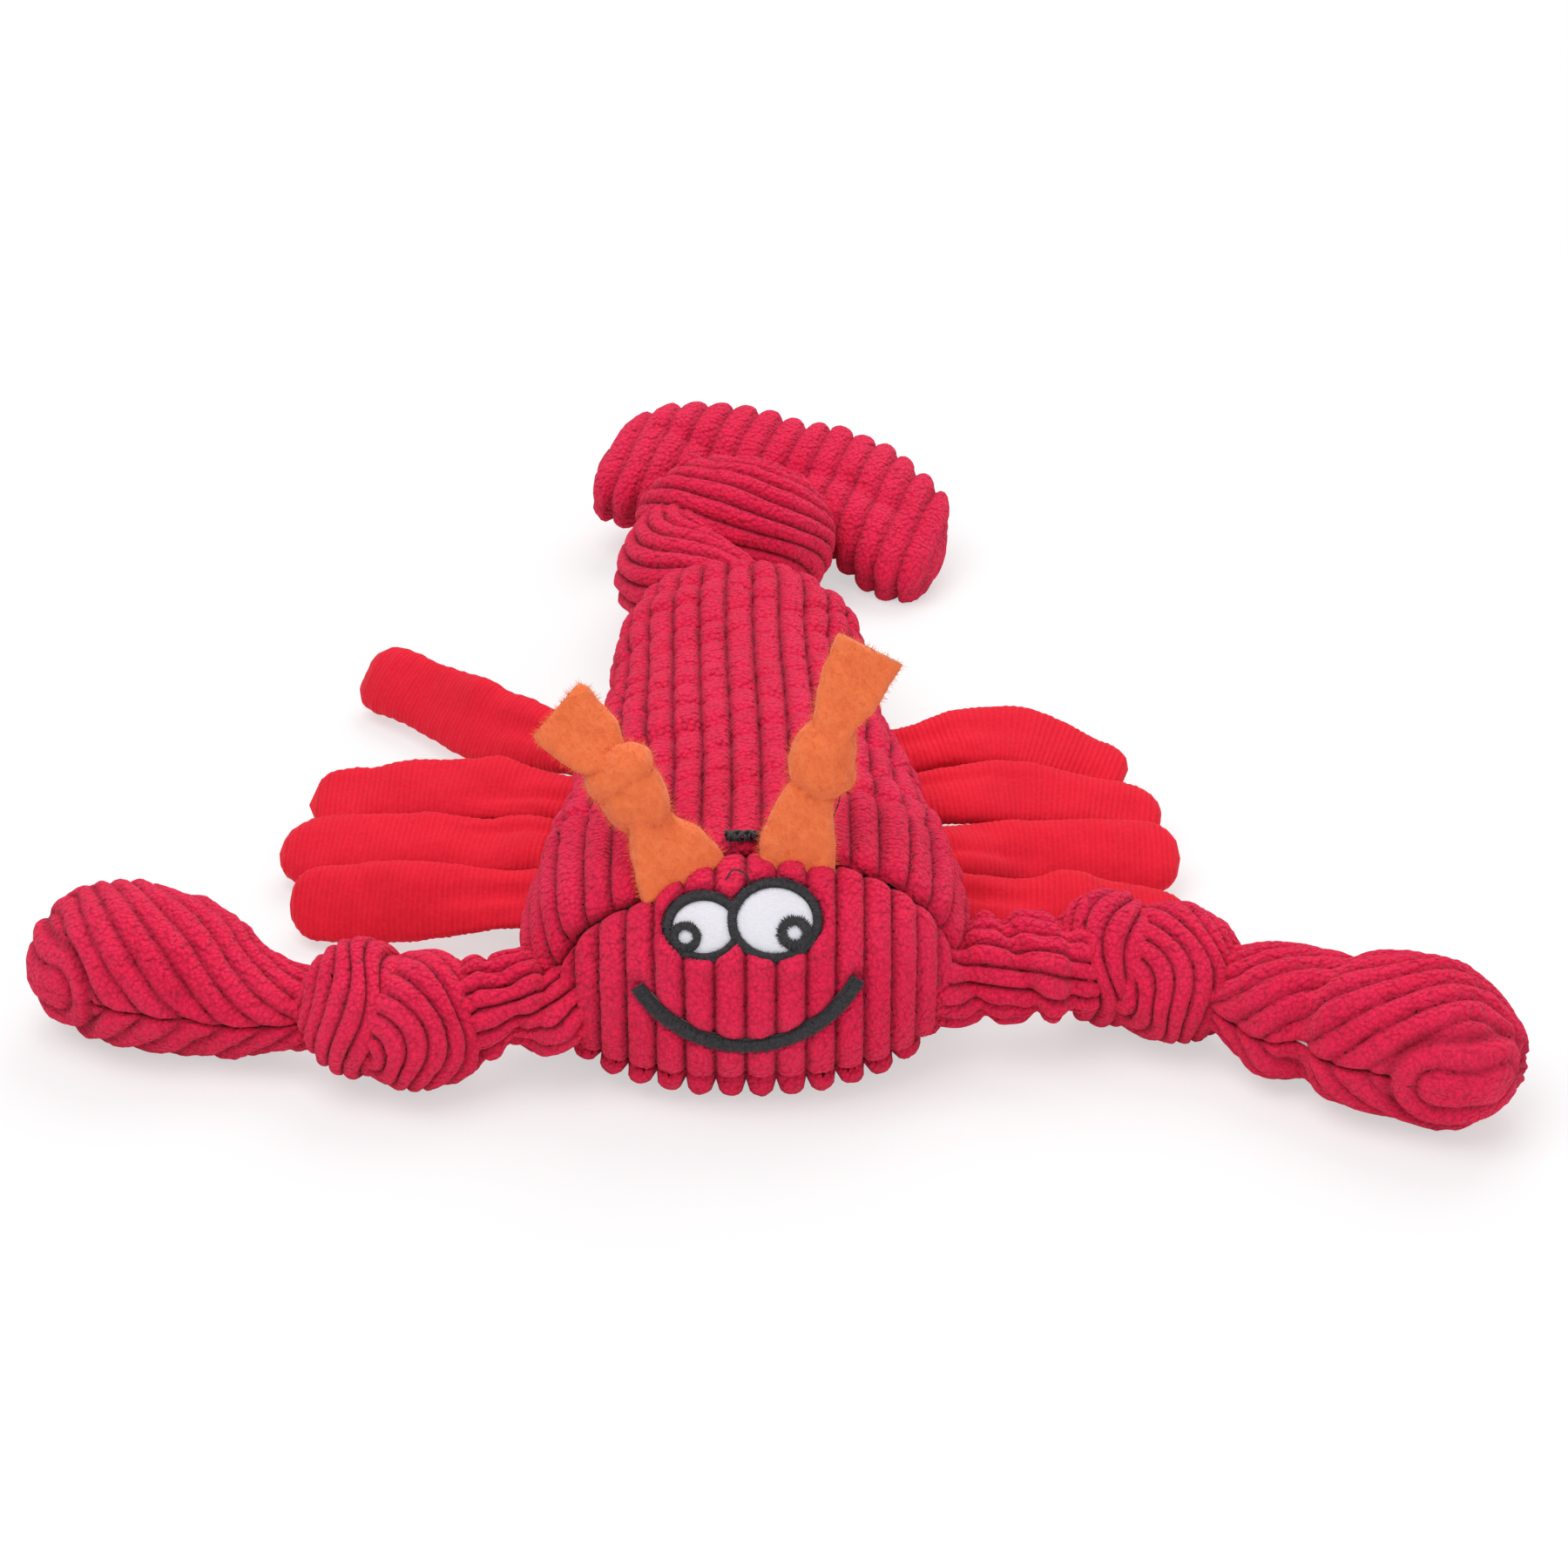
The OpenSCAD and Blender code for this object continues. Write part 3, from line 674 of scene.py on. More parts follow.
def belly_panel():
    pitch = fabric().wale_pitch / MM
    height = fabric().wale_height / MM
    t = np.linspace(0, 1, 34)
    ys = np.concatenate([CHIN_Y + 3.6 + 27.4 * t ** 1.6, np.arange(FACE_SEAM_Y + 1.4, TAIL_Y - RUMP_LEN, 1.8),
                         TAIL_Y - RUMP_LEN * (1 - np.sin(np.linspace(0, math.pi / 2, 28)))])
    cols = np.arange(0, 90, pitch / 8)
    cols = np.concatenate([-cols[:0:-1], cols])
    forward = np.where(cols < 0, 12.0, 3.0)
    grid = np.zeros((len(ys), len(cols), 3))
    edge = np.zeros((len(ys), len(cols)))
    keep = np.zeros((len(ys), len(cols)), bool)
    gathered = None
    for i, y in enumerate(ys):
        x, z = ring(y)
        half = len(x) // 2
        x, z = x[:half + 1], z[:half + 1]
        s = np.concatenate([[0], np.cumsum(np.hypot(np.diff(x), np.diff(z)))])
        seam = mix(CHIN_SEAM_Z + 1.5, SIDE_SEAM_Z + 0.5, ease((y - FACE_SEAM_Y + forward + 6) / 12))
        rising = z > z[0] + 1e-6
        rising[: len(z) // 200] = False
        first = int(np.argmax(rising))
        length = np.interp(seam, z[first:], s[first:])
        if gathered is None and y >= GATHER_Y:
            gathered = length
        scale = length / gathered if gathered is not None else 1.0
        want = np.clip(np.abs(cols) * scale, 0, length)
        keep[i] = np.abs(cols) * scale <= length + pitch / 16
        grid[i, :, 0] = np.sign(cols) * np.interp(want, s, x) + shift_x(y)
        grid[i, :, 1] = y
        grid[i, :, 2] = np.interp(want, s, z)
        edge[i] = length - want
    normal = grid_normals(grid, away=np.array([0, 0, 30.0]))
    along = np.concatenate([[0], np.cumsum(np.linalg.norm(np.diff(grid[:, len(cols) // 2], axis=0), axis=1))])
    ribs = rib(cols / pitch)[None, :] * np.ones((len(ys), 1))
    front = np.minimum(along[:, None], edge)
    ribs = ribs * rounded_end(front, 4.5)
    knobs = gauss(front - 7, 7) * 2.0 * (grid[..., 1] < FACE_SEAM_Y + 8)
    lift = ribs * (height + knobs) - 0.9 - 2.4 * (1 - rounded_end(front, 4.0))
    lift = lift + pile(grid)
    grid[..., 2] += np.where(grid[..., 2] < 0.5, 1.4, 0)
    grid = grid + normal * lift[..., None]
    grid[..., 2] = np.maximum(grid[..., 2], 0.02)
    shape = Shape()
    shape.add(grid, outward_faces(grid, normal, grid_faces(*keep.shape, keep=keep)), ribs)
    obj = shape.build("belly_cloth", corduroy(), thickness=1.0)
    return dress(obj, "trunk", ["belly_panel"])


# Face drawing: x across, and up the picture as it lies on a plane tilted back
EYES = {"left": ((-10.8, -11.0), 8.0), "right": ((7.6, -9.4), 9.7)}
PUPILS = {"left": ((-15.4, -13.6), 4.3), "right": ((12.6, -12.6), 4.8)}
EYE_FLATNESS = 0.86
GLINT_R = 1.9
SMILE_CENTRE, SMILE_R, SMILE_HALF, SMILE_LEAN = (0.0, -8.6), 33.2, 59.5, 2.0


def to_drawing(points):
    return np.stack([points[..., 0], points[..., 1] * math.sin(FACE_TILT) + points[..., 2]
                     * math.cos(FACE_TILT)], -1)


def eye_distance(drawing, side):
    """How far outside the eye's white a point of the drawing is, in mm."""
    (cx, cy), r = EYES[side]
    return np.hypot(drawing[..., 0] - cx, (drawing[..., 1] - cy) / EYE_FLATNESS) - r


def smile_distance(drawing):
    """Distance of a point of the drawing from the line of the smile, in mm."""
    d = drawing - np.array(SMILE_CENTRE)
    lean = math.radians(SMILE_LEAN)
    x = d[..., 0] * math.cos(lean) + d[..., 1] * math.sin(lean)
    y = -d[..., 0] * math.sin(lean) + d[..., 1] * math.cos(lean)
    angle = np.degrees(np.arctan2(x, -y))
    capped = np.radians(np.clip(angle, -SMILE_HALF, SMILE_HALF))
    return np.hypot(x - SMILE_R * np.sin(capped), y + SMILE_R * np.cos(capped))


def face_grid():
    """The smooth face between its seams: one column of points for each eighth of a rib."""
    pitch = fabric().wale_pitch / MM
    rows = 92
    columns, signed, length = [], [], []
    reaches = {}
    for sign in (-1, 1):
        last = FACE_SEAM_Y - float(seam_forward(np.float64(sign * 50.0)))
        ys = CHIN_Y + (last - CHIN_Y) * (1 - np.cos(np.linspace(0.001, math.pi / 2, 400)))
        half = ring_sizes(ys)[0]
        s = np.concatenate([[0], np.cumsum(np.hypot(np.diff(np.concatenate([[0], half])),
                                                    np.diff(np.concatenate([[CHIN_Y], ys]))))])[1:]
        reaches[sign] = s[-1]
        cols = np.arange(0 if sign > 0 else pitch / 8, s[-1] - 1.2, pitch / 8)
        side = []
        for col, x in zip(cols, np.interp(cols, s, half)):
            start = np.interp(x, half, ys)
            seam = FACE_SEAM_Y - float(seam_forward(np.float64(sign * x)))
            y = start + (seam - start) * (1 - np.cos(np.linspace(0.004, math.pi / 2, 220)))
            h, top, bottom, middle = ring_sizes(y)
            up = fullness(np.minimum(x / np.maximum(h, 1e-6), 1), RING_POWER)
            upper = np.stack([y, middle + (top - middle) * up], 1)
            lower = np.stack([y, middle - (middle - bottom) * up], 1)
            lower = lower[: max(2, int(np.argmax(np.append(lower[:, 1] < CHIN_SEAM_Z, True))))]
            line = np.vstack([upper[::-1], lower])
            along = np.concatenate([[0], np.cumsum(np.linalg.norm(np.diff(line, axis=0), axis=1))])
            want = np.linspace(0, along[-1], rows)
            side.append((np.stack([np.full(rows, sign * x), np.interp(want, along, line[:, 0]),
                                   np.interp(want, along, line[:, 1])], 1), sign * col, along[-1]))
        for points, col, total in side[::-1] if sign < 0 else side:
            columns.append(points)
            signed.append(col)
            length.append(total)
    signed = np.array(signed)
    reach = np.where(signed < 0, reaches[-1], reaches[1])
    return np.stack(columns, 1), signed, np.array(length), reach


def face_panel():
    pitch = fabric().wale_pitch / MM
    height = fabric().wale_height / MM
    grid, cols, length, reach = face_grid()
    normal = grid_normals(grid, away=np.array([0, -60.0, 20]))
    t = np.linspace(0, 1, grid.shape[0])[:, None]
    top_edge, chin_edge = t * length, (1 - t) * length
    side_edge = (reach - np.abs(cols))[None, :] + 0 * t
    ribs = rib(cols / pitch)[None, :] + 0 * t
    ribs = ribs * rounded_end(top_edge + 0.4, 5.0) * rounded_end(chin_edge + 0.8, 5.0)
    ribs = ribs * rounded_end(side_edge, 3.0)
    drawing = to_drawing(grid)
    eye = np.minimum(eye_distance(drawing, "left"), eye_distance(drawing, "right"))
    eye = eye - face_settings().rim_width / MM
    below = ease((-10.0 - drawing[..., 1]) / 7)
    open_cloth = ease((eye + 0.5 + 1.5 * below) / 1.5)
    sewn = 1 - 0.85 * gauss(smile_distance(drawing), 2.4)
    lift = ribs * height * open_cloth * sewn - 1.0 - 0.9 * (1 - open_cloth)
    lift = lift + (0.9 + 0.7 * below) * gauss(eye - 2.0, 3.0) * open_cloth
    lift = lift - 2.6 * (1 - rounded_end(top_edge, 5.0)) - 1.6 * (1 - rounded_end(chin_edge, 5.0))
    lift = lift - 2.2 * (1 - rounded_end(side_edge, 4.0)) - 0.5 * gauss(smile_distance(drawing), 3.0)
    lift = lift + LUMPS.at(grid, (24, 24, 24)) * 0.7 * open_cloth + pile(grid) * (0.3 + 0.7 * open_cloth)
    shape = Shape()
    grid = grid + normal * lift[..., None]
    # painted shade: rib_height drops where the cloth sinks round the eye rims and along the smile, so the
    # corduroy colours those places darker
    shape.add(grid, outward_faces(grid, normal, grid_faces(*grid.shape[:2])),
              ribs * open_cloth * (0.4 + 0.6 * sewn))
    obj = shape.build("face_cloth", corduroy(), thickness=1.2)
    return dress(obj, "trunk", ["face_panel"])


def ball(shape, centre, radii, axes, pole, pitch=5.6, height=1.9, seed=0, wander=0.16, ribs_on=True,
         floor=True,
         lumps=1.2):
    """A stuffed lump whose ribs run in circles round a pole. axes are the directions of its three radii."""
    axes, radii = np.array([unit(np.asarray(a, float)) for a in axes]), np.asarray(radii, float)
    pole = unit(np.asarray(pole, float))
    helper = np.array([0, 0, 1.0]) if abs(pole[2]) < 0.9 else np.array([0, 1.0, 0])
    e1 = unit(np.cross(helper, pole))
    e2 = np.cross(pole, e1)
    mean = radii.mean()
    turns = max(3, round(math.pi * mean / pitch))
    rows, cols = turns * 8 + 1, max(48, int(2 * math.pi * mean / 1.15))
    theta = np.linspace(0.03, math.pi - 0.03, rows)[:, None]
    phi = np.linspace(0, 2 * math.pi, cols, endpoint=False)[None, :]
    rng = np.random.RandomState(seed + 90)
    a, b = rng.uniform(0, 6.28, 2)
    bent = theta + wander * np.sin(theta) ** 2 * (np.sin(2 * phi + a) + 0.6 * np.sin(3 * phi + b + theta * 2))
    d = (np.cos(bent)[..., None] * pole + np.sin(bent)[..., None]
         * (np.cos(phi)[..., None] * e1 + np.sin(phi)[..., None] * e2))
    local = d @ axes.T
    grid = np.asarray(centre, float) + (local * radii) @ axes
    normal = unit((local / radii) @ axes)
    ribs = np.ones((rows, cols))
    if ribs_on:
        ribs = rib(np.linspace(0, turns, rows))[:, None] * ribs
    where = grid + seed * 21.3
    lift = (ribs - 0.6) * height * ribs_on + LUMPS.at(where, (13, 13, 13)) * lumps
    lift = lift + FOLDS.at(where, (6, 6, 6)) * 0.5 + pile(grid)
    grid = grid + normal * lift[..., None]
    if floor:
        grid[..., 2] = np.maximum(grid[..., 2], FLOOR_GAP)
    shape.add(grid, tube_faces(grid, normal), ribs)


class FaceSurface:
    """Finds the smooth face under a point of the drawing."""

    def __init__(self):
        grid = face_grid()[0]
        self.tree = BVHTree.FromPolygons([Vector(p) for p in grid.reshape(-1, 3)],
                                         grid_faces(*grid.shape[:2]).tolist())

    def at(self, x, up, lift):
        c, s = math.cos(FACE_TILT), math.sin(FACE_TILT)
        start = Vector((x, up * s - 300 * c, up * c + 300 * s))
        hit, normal, _, _ = self.tree.ray_cast(start, Vector((0, c, -s)))
        if hit is None:
            raise RuntimeError(f"the face drawing leaves the face at {x:.1f}, {up:.1f}")
        if normal.y > 0:
            normal = -normal
        return hit + normal * lift, normal


def eye_outline(side, grow, count=72):
    (cx, cy), r = EYES[side]
    a = np.linspace(0, 2 * math.pi, count, endpoint=False)
    return np.stack([cx + (r + grow) * np.cos(a), cy + (r + grow) * EYE_FLATNESS * np.sin(a)], 1)


def covered(point, side):
    """True where the right eye lies over the left one."""
    return side == "left" and eye_distance(np.array(point), "right") < face_settings().rim_width / MM * 0.55


def eye_white(side, surface):
    (cx, cy), r = EYES[side]
    rings, count = 12, 64
    top, under = [], []
    for k in range(rings + 1):
        for a in np.linspace(0, 2 * math.pi, count, endpoint=False):
            share = k / rings
            x, up = cx + (r + 0.9) * share * math.cos(a), cy + (r + 0.9) * share * EYE_FLATNESS * math.sin(a)
            swell = 0.75 * (1 - share ** 4) + 0.15
            low = 0.35 if side == "left" else 0.0
            top.append(surface.at(x, up, swell - low)[0])
            under.append(surface.at(x, up, -0.9)[0])
    shape = Shape()
    faces = [list(q) for q in grid_faces(rings + 1, count, wrap_cols=True)]
    n = (rings + 1) * count
    shape.add(np.array([tuple(v) for v in top + under]), [], None)
    shape.faces += [f[::-1] for f in faces] + [[i + n for i in f] for f in faces]
    edge = rings * count
    shape.faces += [[edge + i, edge + (i + 1) % count, n + edge + (i + 1) % count, n + edge + i]
                    for i in range(count)]
    obj = shape.build(f"{side}_eye_patch", white_patch())
    weld(obj, 1e-6)
    return dress(obj, "trunk", [f"{side}_eye_white"])


def weld(obj, distance):
    import bmesh
    bm = bmesh.new()
    bm.from_mesh(obj.data)
    bmesh.ops.remove_doubles(bm, verts=bm.verts, dist=distance)
    bmesh.ops.recalc_face_normals(bm, faces=bm.faces)
    bm.to_mesh(obj.data)
    bm.free()


def node_group(name, inputs):
    """A new geometry node tree, its writer and its group input. inputs are (name, kind, default)."""
    tree = bpy.data.node_groups.new(name, "GeometryNodeTree")
    for label, kind, value in inputs:
        socket = tree.interface.new_socket(label, in_out="INPUT", socket_type="NodeSocket" + kind)
        if value is not None:
            socket.default_value = value
    tree.interface.new_socket("Result", in_out="OUTPUT", socket_type="NodeSocketGeometry")
    writer = NodeWriter(tree)
    return tree, writer, writer.node("NodeGroupInput")


def stitch_tree():
    """Geometry nodes: one padded stitch on each point, turned and stretched by the point's attributes."""
    tree, w, given = node_group("satin_stitches", (
        ("Points", "Geometry", None), ("Thread Thickness", "Float", 0.0005), ("Seed", "Int", 4),
        ("Thread", "Material", None)))

    def attribute(name, kind):
        return w.node("GeometryNodeInputNamedAttribute", {"data_type": kind}, Name=name, output="Attribute")

    aim = "FunctionNodeAlignRotationToVector"
    along = w.node(aim, {"axis": "X"}, Vector=attribute("across", "FLOAT_VECTOR"))
    out = w.node(aim, {"axis": "Z", "pivot_axis": "X"}, Rotation=along,
                 Vector=attribute("outward", "FLOAT_VECTOR"))
    length = attribute("stitch_length", "FLOAT") * w.random("FLOAT", 0.86, 1.16, given.other("Seed"))
    thick = given.other("Thread Thickness")
    ball = w.node("GeometryNodeMeshUVSphere", None, Segments=6, Rings=6, Radius=0.5, output="Mesh")
    placed = w.node("GeometryNodeInstanceOnPoints", None, Points=given.other("Points"), Instance=ball,
                    Rotation=out, Scale=w.node("ShaderNodeCombineXYZ", None, length, thick, thick))
    smooth = w.node("GeometryNodeSetShadeSmooth", None, w.node("GeometryNodeRealizeInstances", None, placed))
    painted = w.node("GeometryNodeSetMaterial", None, Geometry=smooth, Material=given.other("Thread"))
    w.node("NodeGroupOutput", None, painted)
    return tree


def fuzz_tree():
    """Geometry nodes: short thin fibres that stand on a cloth, with the cloth itself."""
    tree, w, given = node_group("fuzz", (
        ("Cloth", "Geometry", None), ("Density", "Float", 1.0e6), ("Fibre Length", "Float", 0.0016),
        ("Fibre Radius", "Float", 0.00006), ("Seed", "Int", 3), ("Fibre", "Material", None)))
    cloth, seed = given.other("Cloth"), given.other("Seed")
    points = w.node("GeometryNodeDistributePointsOnFaces", None, Mesh=cloth, Density=given.other("Density"),
                    Seed=seed, output="Points")
    cone = w.node("GeometryNodeMeshCone", {"fill_type": "NONE"}, Vertices=3,
                  Radius_Bottom=given.other("Fibre Radius"), Depth=given.other("Fibre Length"), output="Mesh")
    lean = w.random("FLOAT_VECTOR", (-0.8, -0.8, -0.8), (0.8, 0.8, 0.8), seed)
    way = w.node("ShaderNodeVectorMath", {"operation": "ADD"}, points.other("Normal"), lean)
    placed = w.node("GeometryNodeInstanceOnPoints", None, Points=points, Instance=cone,
                    Rotation=w.node("FunctionNodeAlignRotationToVector", {"axis": "Z"}, Vector=way),
                    Scale=w.random("FLOAT", 0.5, 1.25, seed))
    painted = w.node("GeometryNodeSetMaterial", None, Material=given.other("Fibre"),
                     Geometry=w.node("GeometryNodeRealizeInstances", None, placed))
    both = w.nodes.new("GeometryNodeJoinGeometry")
    for part in (painted, cloth):
        w.join(both.inputs[0], part)
    w.node("NodeGroupOutput", None, Wire(w, both.outputs[0]))
    return tree


def add_fuzz(obj, density, length, radius, material, seed):
    """Stands fibres on a piece and bakes them in."""
    modifier = obj.modifiers.new("fuzz", "NODES")
    modifier.node_group = bpy.data.node_groups.get("fuzz") or fuzz_tree()
    ids = {item.name: item.identifier for item in modifier.node_group.interface.items_tree}
    for name, value in (("Density", density), ("Fibre Length", length), ("Fibre Radius", radius),
                        ("Seed", seed),
                        ("Fibre", material)):
        modifier[ids[name]] = value
    apply_modifiers(obj)
    return obj


def sew(name, stitches, thickness, material, seed=4):
    """Stitches from a list of (place, across, outward, length), all in mm, as one mesh."""
    mesh = bpy.data.meshes.new(name)
    mesh.from_pydata([tuple(v * MM for v in s[0]) for s in stitches], [], [])
    for key, kind, size, values in (
            ("across", "FLOAT_VECTOR", "vector", [c for s in stitches for c in s[1]]),
            ("outward", "FLOAT_VECTOR", "vector", [c for s in stitches for c in s[2]]),
            ("stitch_length", "FLOAT", "value", [s[3] * MM for s in stitches])):
        mesh.attributes.new(key, kind, "POINT").data.foreach_set(size, values)
    obj = bpy.data.objects.new(name, mesh)
    bpy.context.scene.collection.objects.link(obj)
    modifier = obj.modifiers.new("stitches", "NODES")
    modifier.node_group = bpy.data.node_groups.get("satin_stitches") or stitch_tree()
    ids = {item.name: item.identifier for item in modifier.node_group.interface.items_tree}
    modifier[ids["Thread Thickness"]] = thickness * MM
    modifier[ids["Seed"]] = seed
    modifier[ids["Thread"]] = material
    apply_modifiers(obj)
    return obj


def satin_line(surface, line, width, lift, closed=False, skip=None):
    """Stitches side by side across a line of the drawing."""
    line = np.asarray(line, float)
    points = np.vstack([line, line[:1]]) if closed else line
    step = np.linalg.norm(np.diff(points, axis=0), axis=1)
    along = np.concatenate([[0], np.cumsum(step)])
    count = int(along[-1] / (face_settings().stitch_spacing / MM))
    rng = np.random.RandomState(len(line))
    made = []
    for i in range(count):
        d = along[-1] * (i + 0.5) / count
        x, y = np.interp(d, along, points[:, 0]), np.interp(d, along, points[:, 1])
        (x2, y2), (x1, y1) = ([np.interp(place, along, points[:, k]) for k in (0, 1)]
                              for place in (min(d + 0.2, along[-1]), max(d - 0.2, 0)))
        across = unit(np.array([-(y2 - y1), x2 - x1]))
        across = unit(across + rng.uniform(-0.12, 0.12, 2))
        if skip is not None and skip((x, y)):
            continue
        half = width / 2 * rng.uniform(0.94, 1.08)
        a, _ = surface.at(x - across[0] * half, y - across[1] * half, lift * 0.5)
        b, _ = surface.at(x + across[0] * half, y + across[1] * half, lift * 0.5)
        middle, n = surface.at(x, y, lift)
        made.append((tuple(middle), tuple((b - a).normalized()), tuple(n), (b - a).length))
    return made


def under_band(shape, surface, line, width, lift, closed):
    """A solid band under a line of stitches."""
    line = np.asarray(line, float)
    n = len(line)
    ahead = np.roll(line, -1, 0) if closed else np.vstack([line[1:], line[-1:]])
    behind = np.roll(line, 1, 0) if closed else np.vstack([line[:1], line[:-1]])
    across = unit(np.stack([-(ahead - behind)[:, 1], (ahead - behind)[:, 0]], 1))
    section = [(-0.5, -0.9), (-0.5, lift * 0.3), (-0.25, lift * 0.85), (0.0, lift), (0.25, lift * 0.85),
               (0.5, lift * 0.3), (0.5, -0.9)]
    verts = [tuple(surface.at(*(p + a * w * width), up)[0]) for p, a in zip(line, across) for w,
             up in section]
    m = len(section)
    faces = [list(f) for f in grid_faces(n, m, wrap_rows=closed, wrap_cols=True)]
    if not closed:
        faces += [list(range(m)), [(n - 1) * m + k for k in range(m)][::-1]]
    shape.add(np.array(verts), faces)


def eye_stitching(side, surface):
    rim = face_settings().rim_width / MM
    edge = eye_outline(side, rim / 2)
    (px, py), pr = PUPILS[side]
    a = np.linspace(0, 2 * math.pi, 40, endpoint=False)
    middle = (pr + GLINT_R) / 2
    pupil = np.stack([px + middle * np.cos(a), py + middle * 0.92 * np.sin(a)], 1)
    pupil = np.array([p for p in pupil if eye_distance(p, side) < rim * 0.6])
    lift = 1.05 if side == "right" else 0.85
    shape = Shape()
    if side == "left":
        gone = [covered(p, side) for p in edge]
        first = max(i for i in range(len(edge)) if gone[i] and not gone[(i + 1) % len(edge)])
        order = [(first + 1 + k) % len(edge) for k in range(len(edge))]
        open_edge = edge[[i for i in order if not gone[i]]]
        under_band(shape, surface, open_edge, rim, lift - 0.2, False)
    else:
        open_edge = edge
        under_band(shape, surface, edge, rim, lift - 0.2, True)
    inside = [eye_distance(p, side) < rim * 0.6 for p in
              np.stack([px + middle * np.cos(a), py + middle * 0.92 * np.sin(a)], 1)]
    full = np.stack([px + middle * np.cos(a), py + middle * 0.92 * np.sin(a)], 1)
    if all(inside):
        under_band(shape, surface, full, pr - GLINT_R, lift + 0.1, True)
    else:
        first = max(i for i in range(40) if not inside[i] and inside[(i + 1) % 40])
        arc = [full[(first + 1 + k) % 40] for k in range(40) if inside[(first + 1 + k) % 40]]
        under_band(shape, surface, np.array(arc), pr - GLINT_R, lift + 0.1, False)
        full = np.array(arc)
    base = shape.build(f"{side}_eye_thread", black_thread())
    weld(base, 1e-7)
    stitches = satin_line(surface, open_edge, rim * 1.1, lift, closed=side == "right")
    stitches += satin_line(surface, full, (pr - GLINT_R) * 1.1, lift + 0.3, closed=all(inside))
    threads = sew(f"{side}_eye_rows", stitches, 0.62, black_thread())
    join(base, threads)
    return dress(base, "trunk", [f"{side}_eye_stitching"])


def join(target, *others):
    bpy.ops.object.select_all(action="DESELECT")
    for o in (target, *others):
        o.select_set(True)
    bpy.context.view_layer.objects.active = target
    bpy.ops.object.join()
    return target


def smile(surface):
    width = face_settings().smile_width / MM
    a = np.radians(np.linspace(-SMILE_HALF, SMILE_HALF, 90) + SMILE_LEAN)
    line = np.stack([SMILE_CENTRE[0] + SMILE_R * np.sin(a), SMILE_CENTRE[1] - SMILE_R * np.cos(a)], 1)
    shape = Shape()
    under_band(shape, surface, line, width, 0.6, False)
    base = shape.build("smile_thread", black_thread())
    weld(base, 1e-7)
    join(base, sew("smile_rows", satin_line(surface, line, width * 1.06, 0.8), 0.62, black_thread(), 9))
    return dress(base, "trunk", ["mouth_stitching"])


# ---------------------------------------------------------------- stuffed tubes and loops


def even_ring(half_w, half_t, count, power=1.0):
    """Angles that divide a flattened ring into equal lengths."""
    a = np.linspace(0, 2 * math.pi, 361)
    x, y = half_w * signed_power(np.cos(a), power), half_t * signed_power(np.sin(a), power)
    s = np.concatenate([[0], np.cumsum(np.hypot(np.diff(x), np.diff(y)))])
    return np.interp(np.linspace(0, s[-1], count, endpoint=False), s, a), s[-1]


def tube(shape, path, width, thick, turn=0.0, pitch=None, step=1.3, crumple=0.0, creases=(), seed=0):
    """Stuffed corduroy tube along a path, ribs along it. width and thick are half sizes at each point."""
    pitch = pitch or fabric().wale_pitch / MM
    height = fabric().wale_height / MM
    data = np.column_stack([np.asarray(path, float), width, thick])
    total = np.sum(np.linalg.norm(np.diff(data[:, :3], axis=0), axis=1))
    line, total = spline(data, max(12, int(total / step)))
    centre, half_w, half_t = line[:, :3], line[:, 3], line[:, 4]
    tangent = unit(np.gradient(centre, axis=0))
    side = unit(np.cross(tangent, np.tile((0.0, 0.0, 1.0), (len(centre), 1))))
    out = np.cross(side, tangent)
    perimeter = math.pi * (half_w.max() + half_t.max())
    ring_points = max(3, round(perimeter / pitch)) * COLUMNS_PER_RIB
    around = np.arange(ring_points)
    grid = np.zeros((len(centre), ring_points, 3))
    spacing = np.zeros(len(centre))
    t = np.linspace(0, 1, len(centre))
    for i in range(len(centre)):
        a, length = even_ring(half_w[i], half_t[i], ring_points, 1.0)
        shift = turn * t[i] / (2 * math.pi) * ring_points
        a = np.interp((around + shift) % ring_points, np.arange(ring_points + 1), np.append(a, 2 * math.pi))
        grid[i] = (centre[i] + side[i] * (half_w[i] * np.cos(a))[:, None]
                   + out[i] * (half_t[i] * np.sin(a))[:, None])
        spacing[i] = min(1.0, length / perimeter)
    normal = grid_normals(grid, wrap_cols=True)
    if np.sum(normal * (grid - centre[:, None])) < 0:
        normal = -normal
    ribs = rib(around / COLUMNS_PER_RIB)[None, :] * np.ones((len(centre), 1))
    lift = (ribs - 0.55) * height * (0.35 + 0.65 * spacing)[:, None]
    where = grid + seed * 13.7
    if crumple:
        lift = lift + FOLDS.at(where, (9, 9, 9)) * crumple + FOLDS.at(where + 50, (5, 5, 5)) * crumple * 0.4
    lift = lift + LUMPS.at(where, (18, 18, 18)) * 0.8 + pile(grid)
    for place, depth, wide, lean in creases:
        a = around / ring_points * 2 * math.pi
        away = (t[:, None] - place) * total - lean * np.sin(a + place * 9)[None, :]
        lift = lift - depth * gauss(away, wide)
    fade = np.clip(np.minimum(half_w, half_t) / 4.0, 0, 1)[:, None]
    grid = grid + normal * (lift * fade)[..., None]
    grid[..., 2] = np.maximum(grid[..., 2], FLOOR_GAP)
    faces = grid_faces(*grid.shape[:2], wrap_cols=True)
    flip = np.sum(np.cross(grid[1, 1] - grid[1, 0], grid[2, 0] - grid[1, 0]) * normal[1, 0]) < 0
    faces = [list(f) for f in (faces[:, ::-1] if flip else faces)]
    last = (grid.shape[0] - 1) * ring_points
    for cap, back in ((range(ring_points), not flip), (range(last, last + ring_points), flip)):
        faces.append(list(cap)[::-1] if back else list(cap))
    shape.add(grid, faces, ribs)


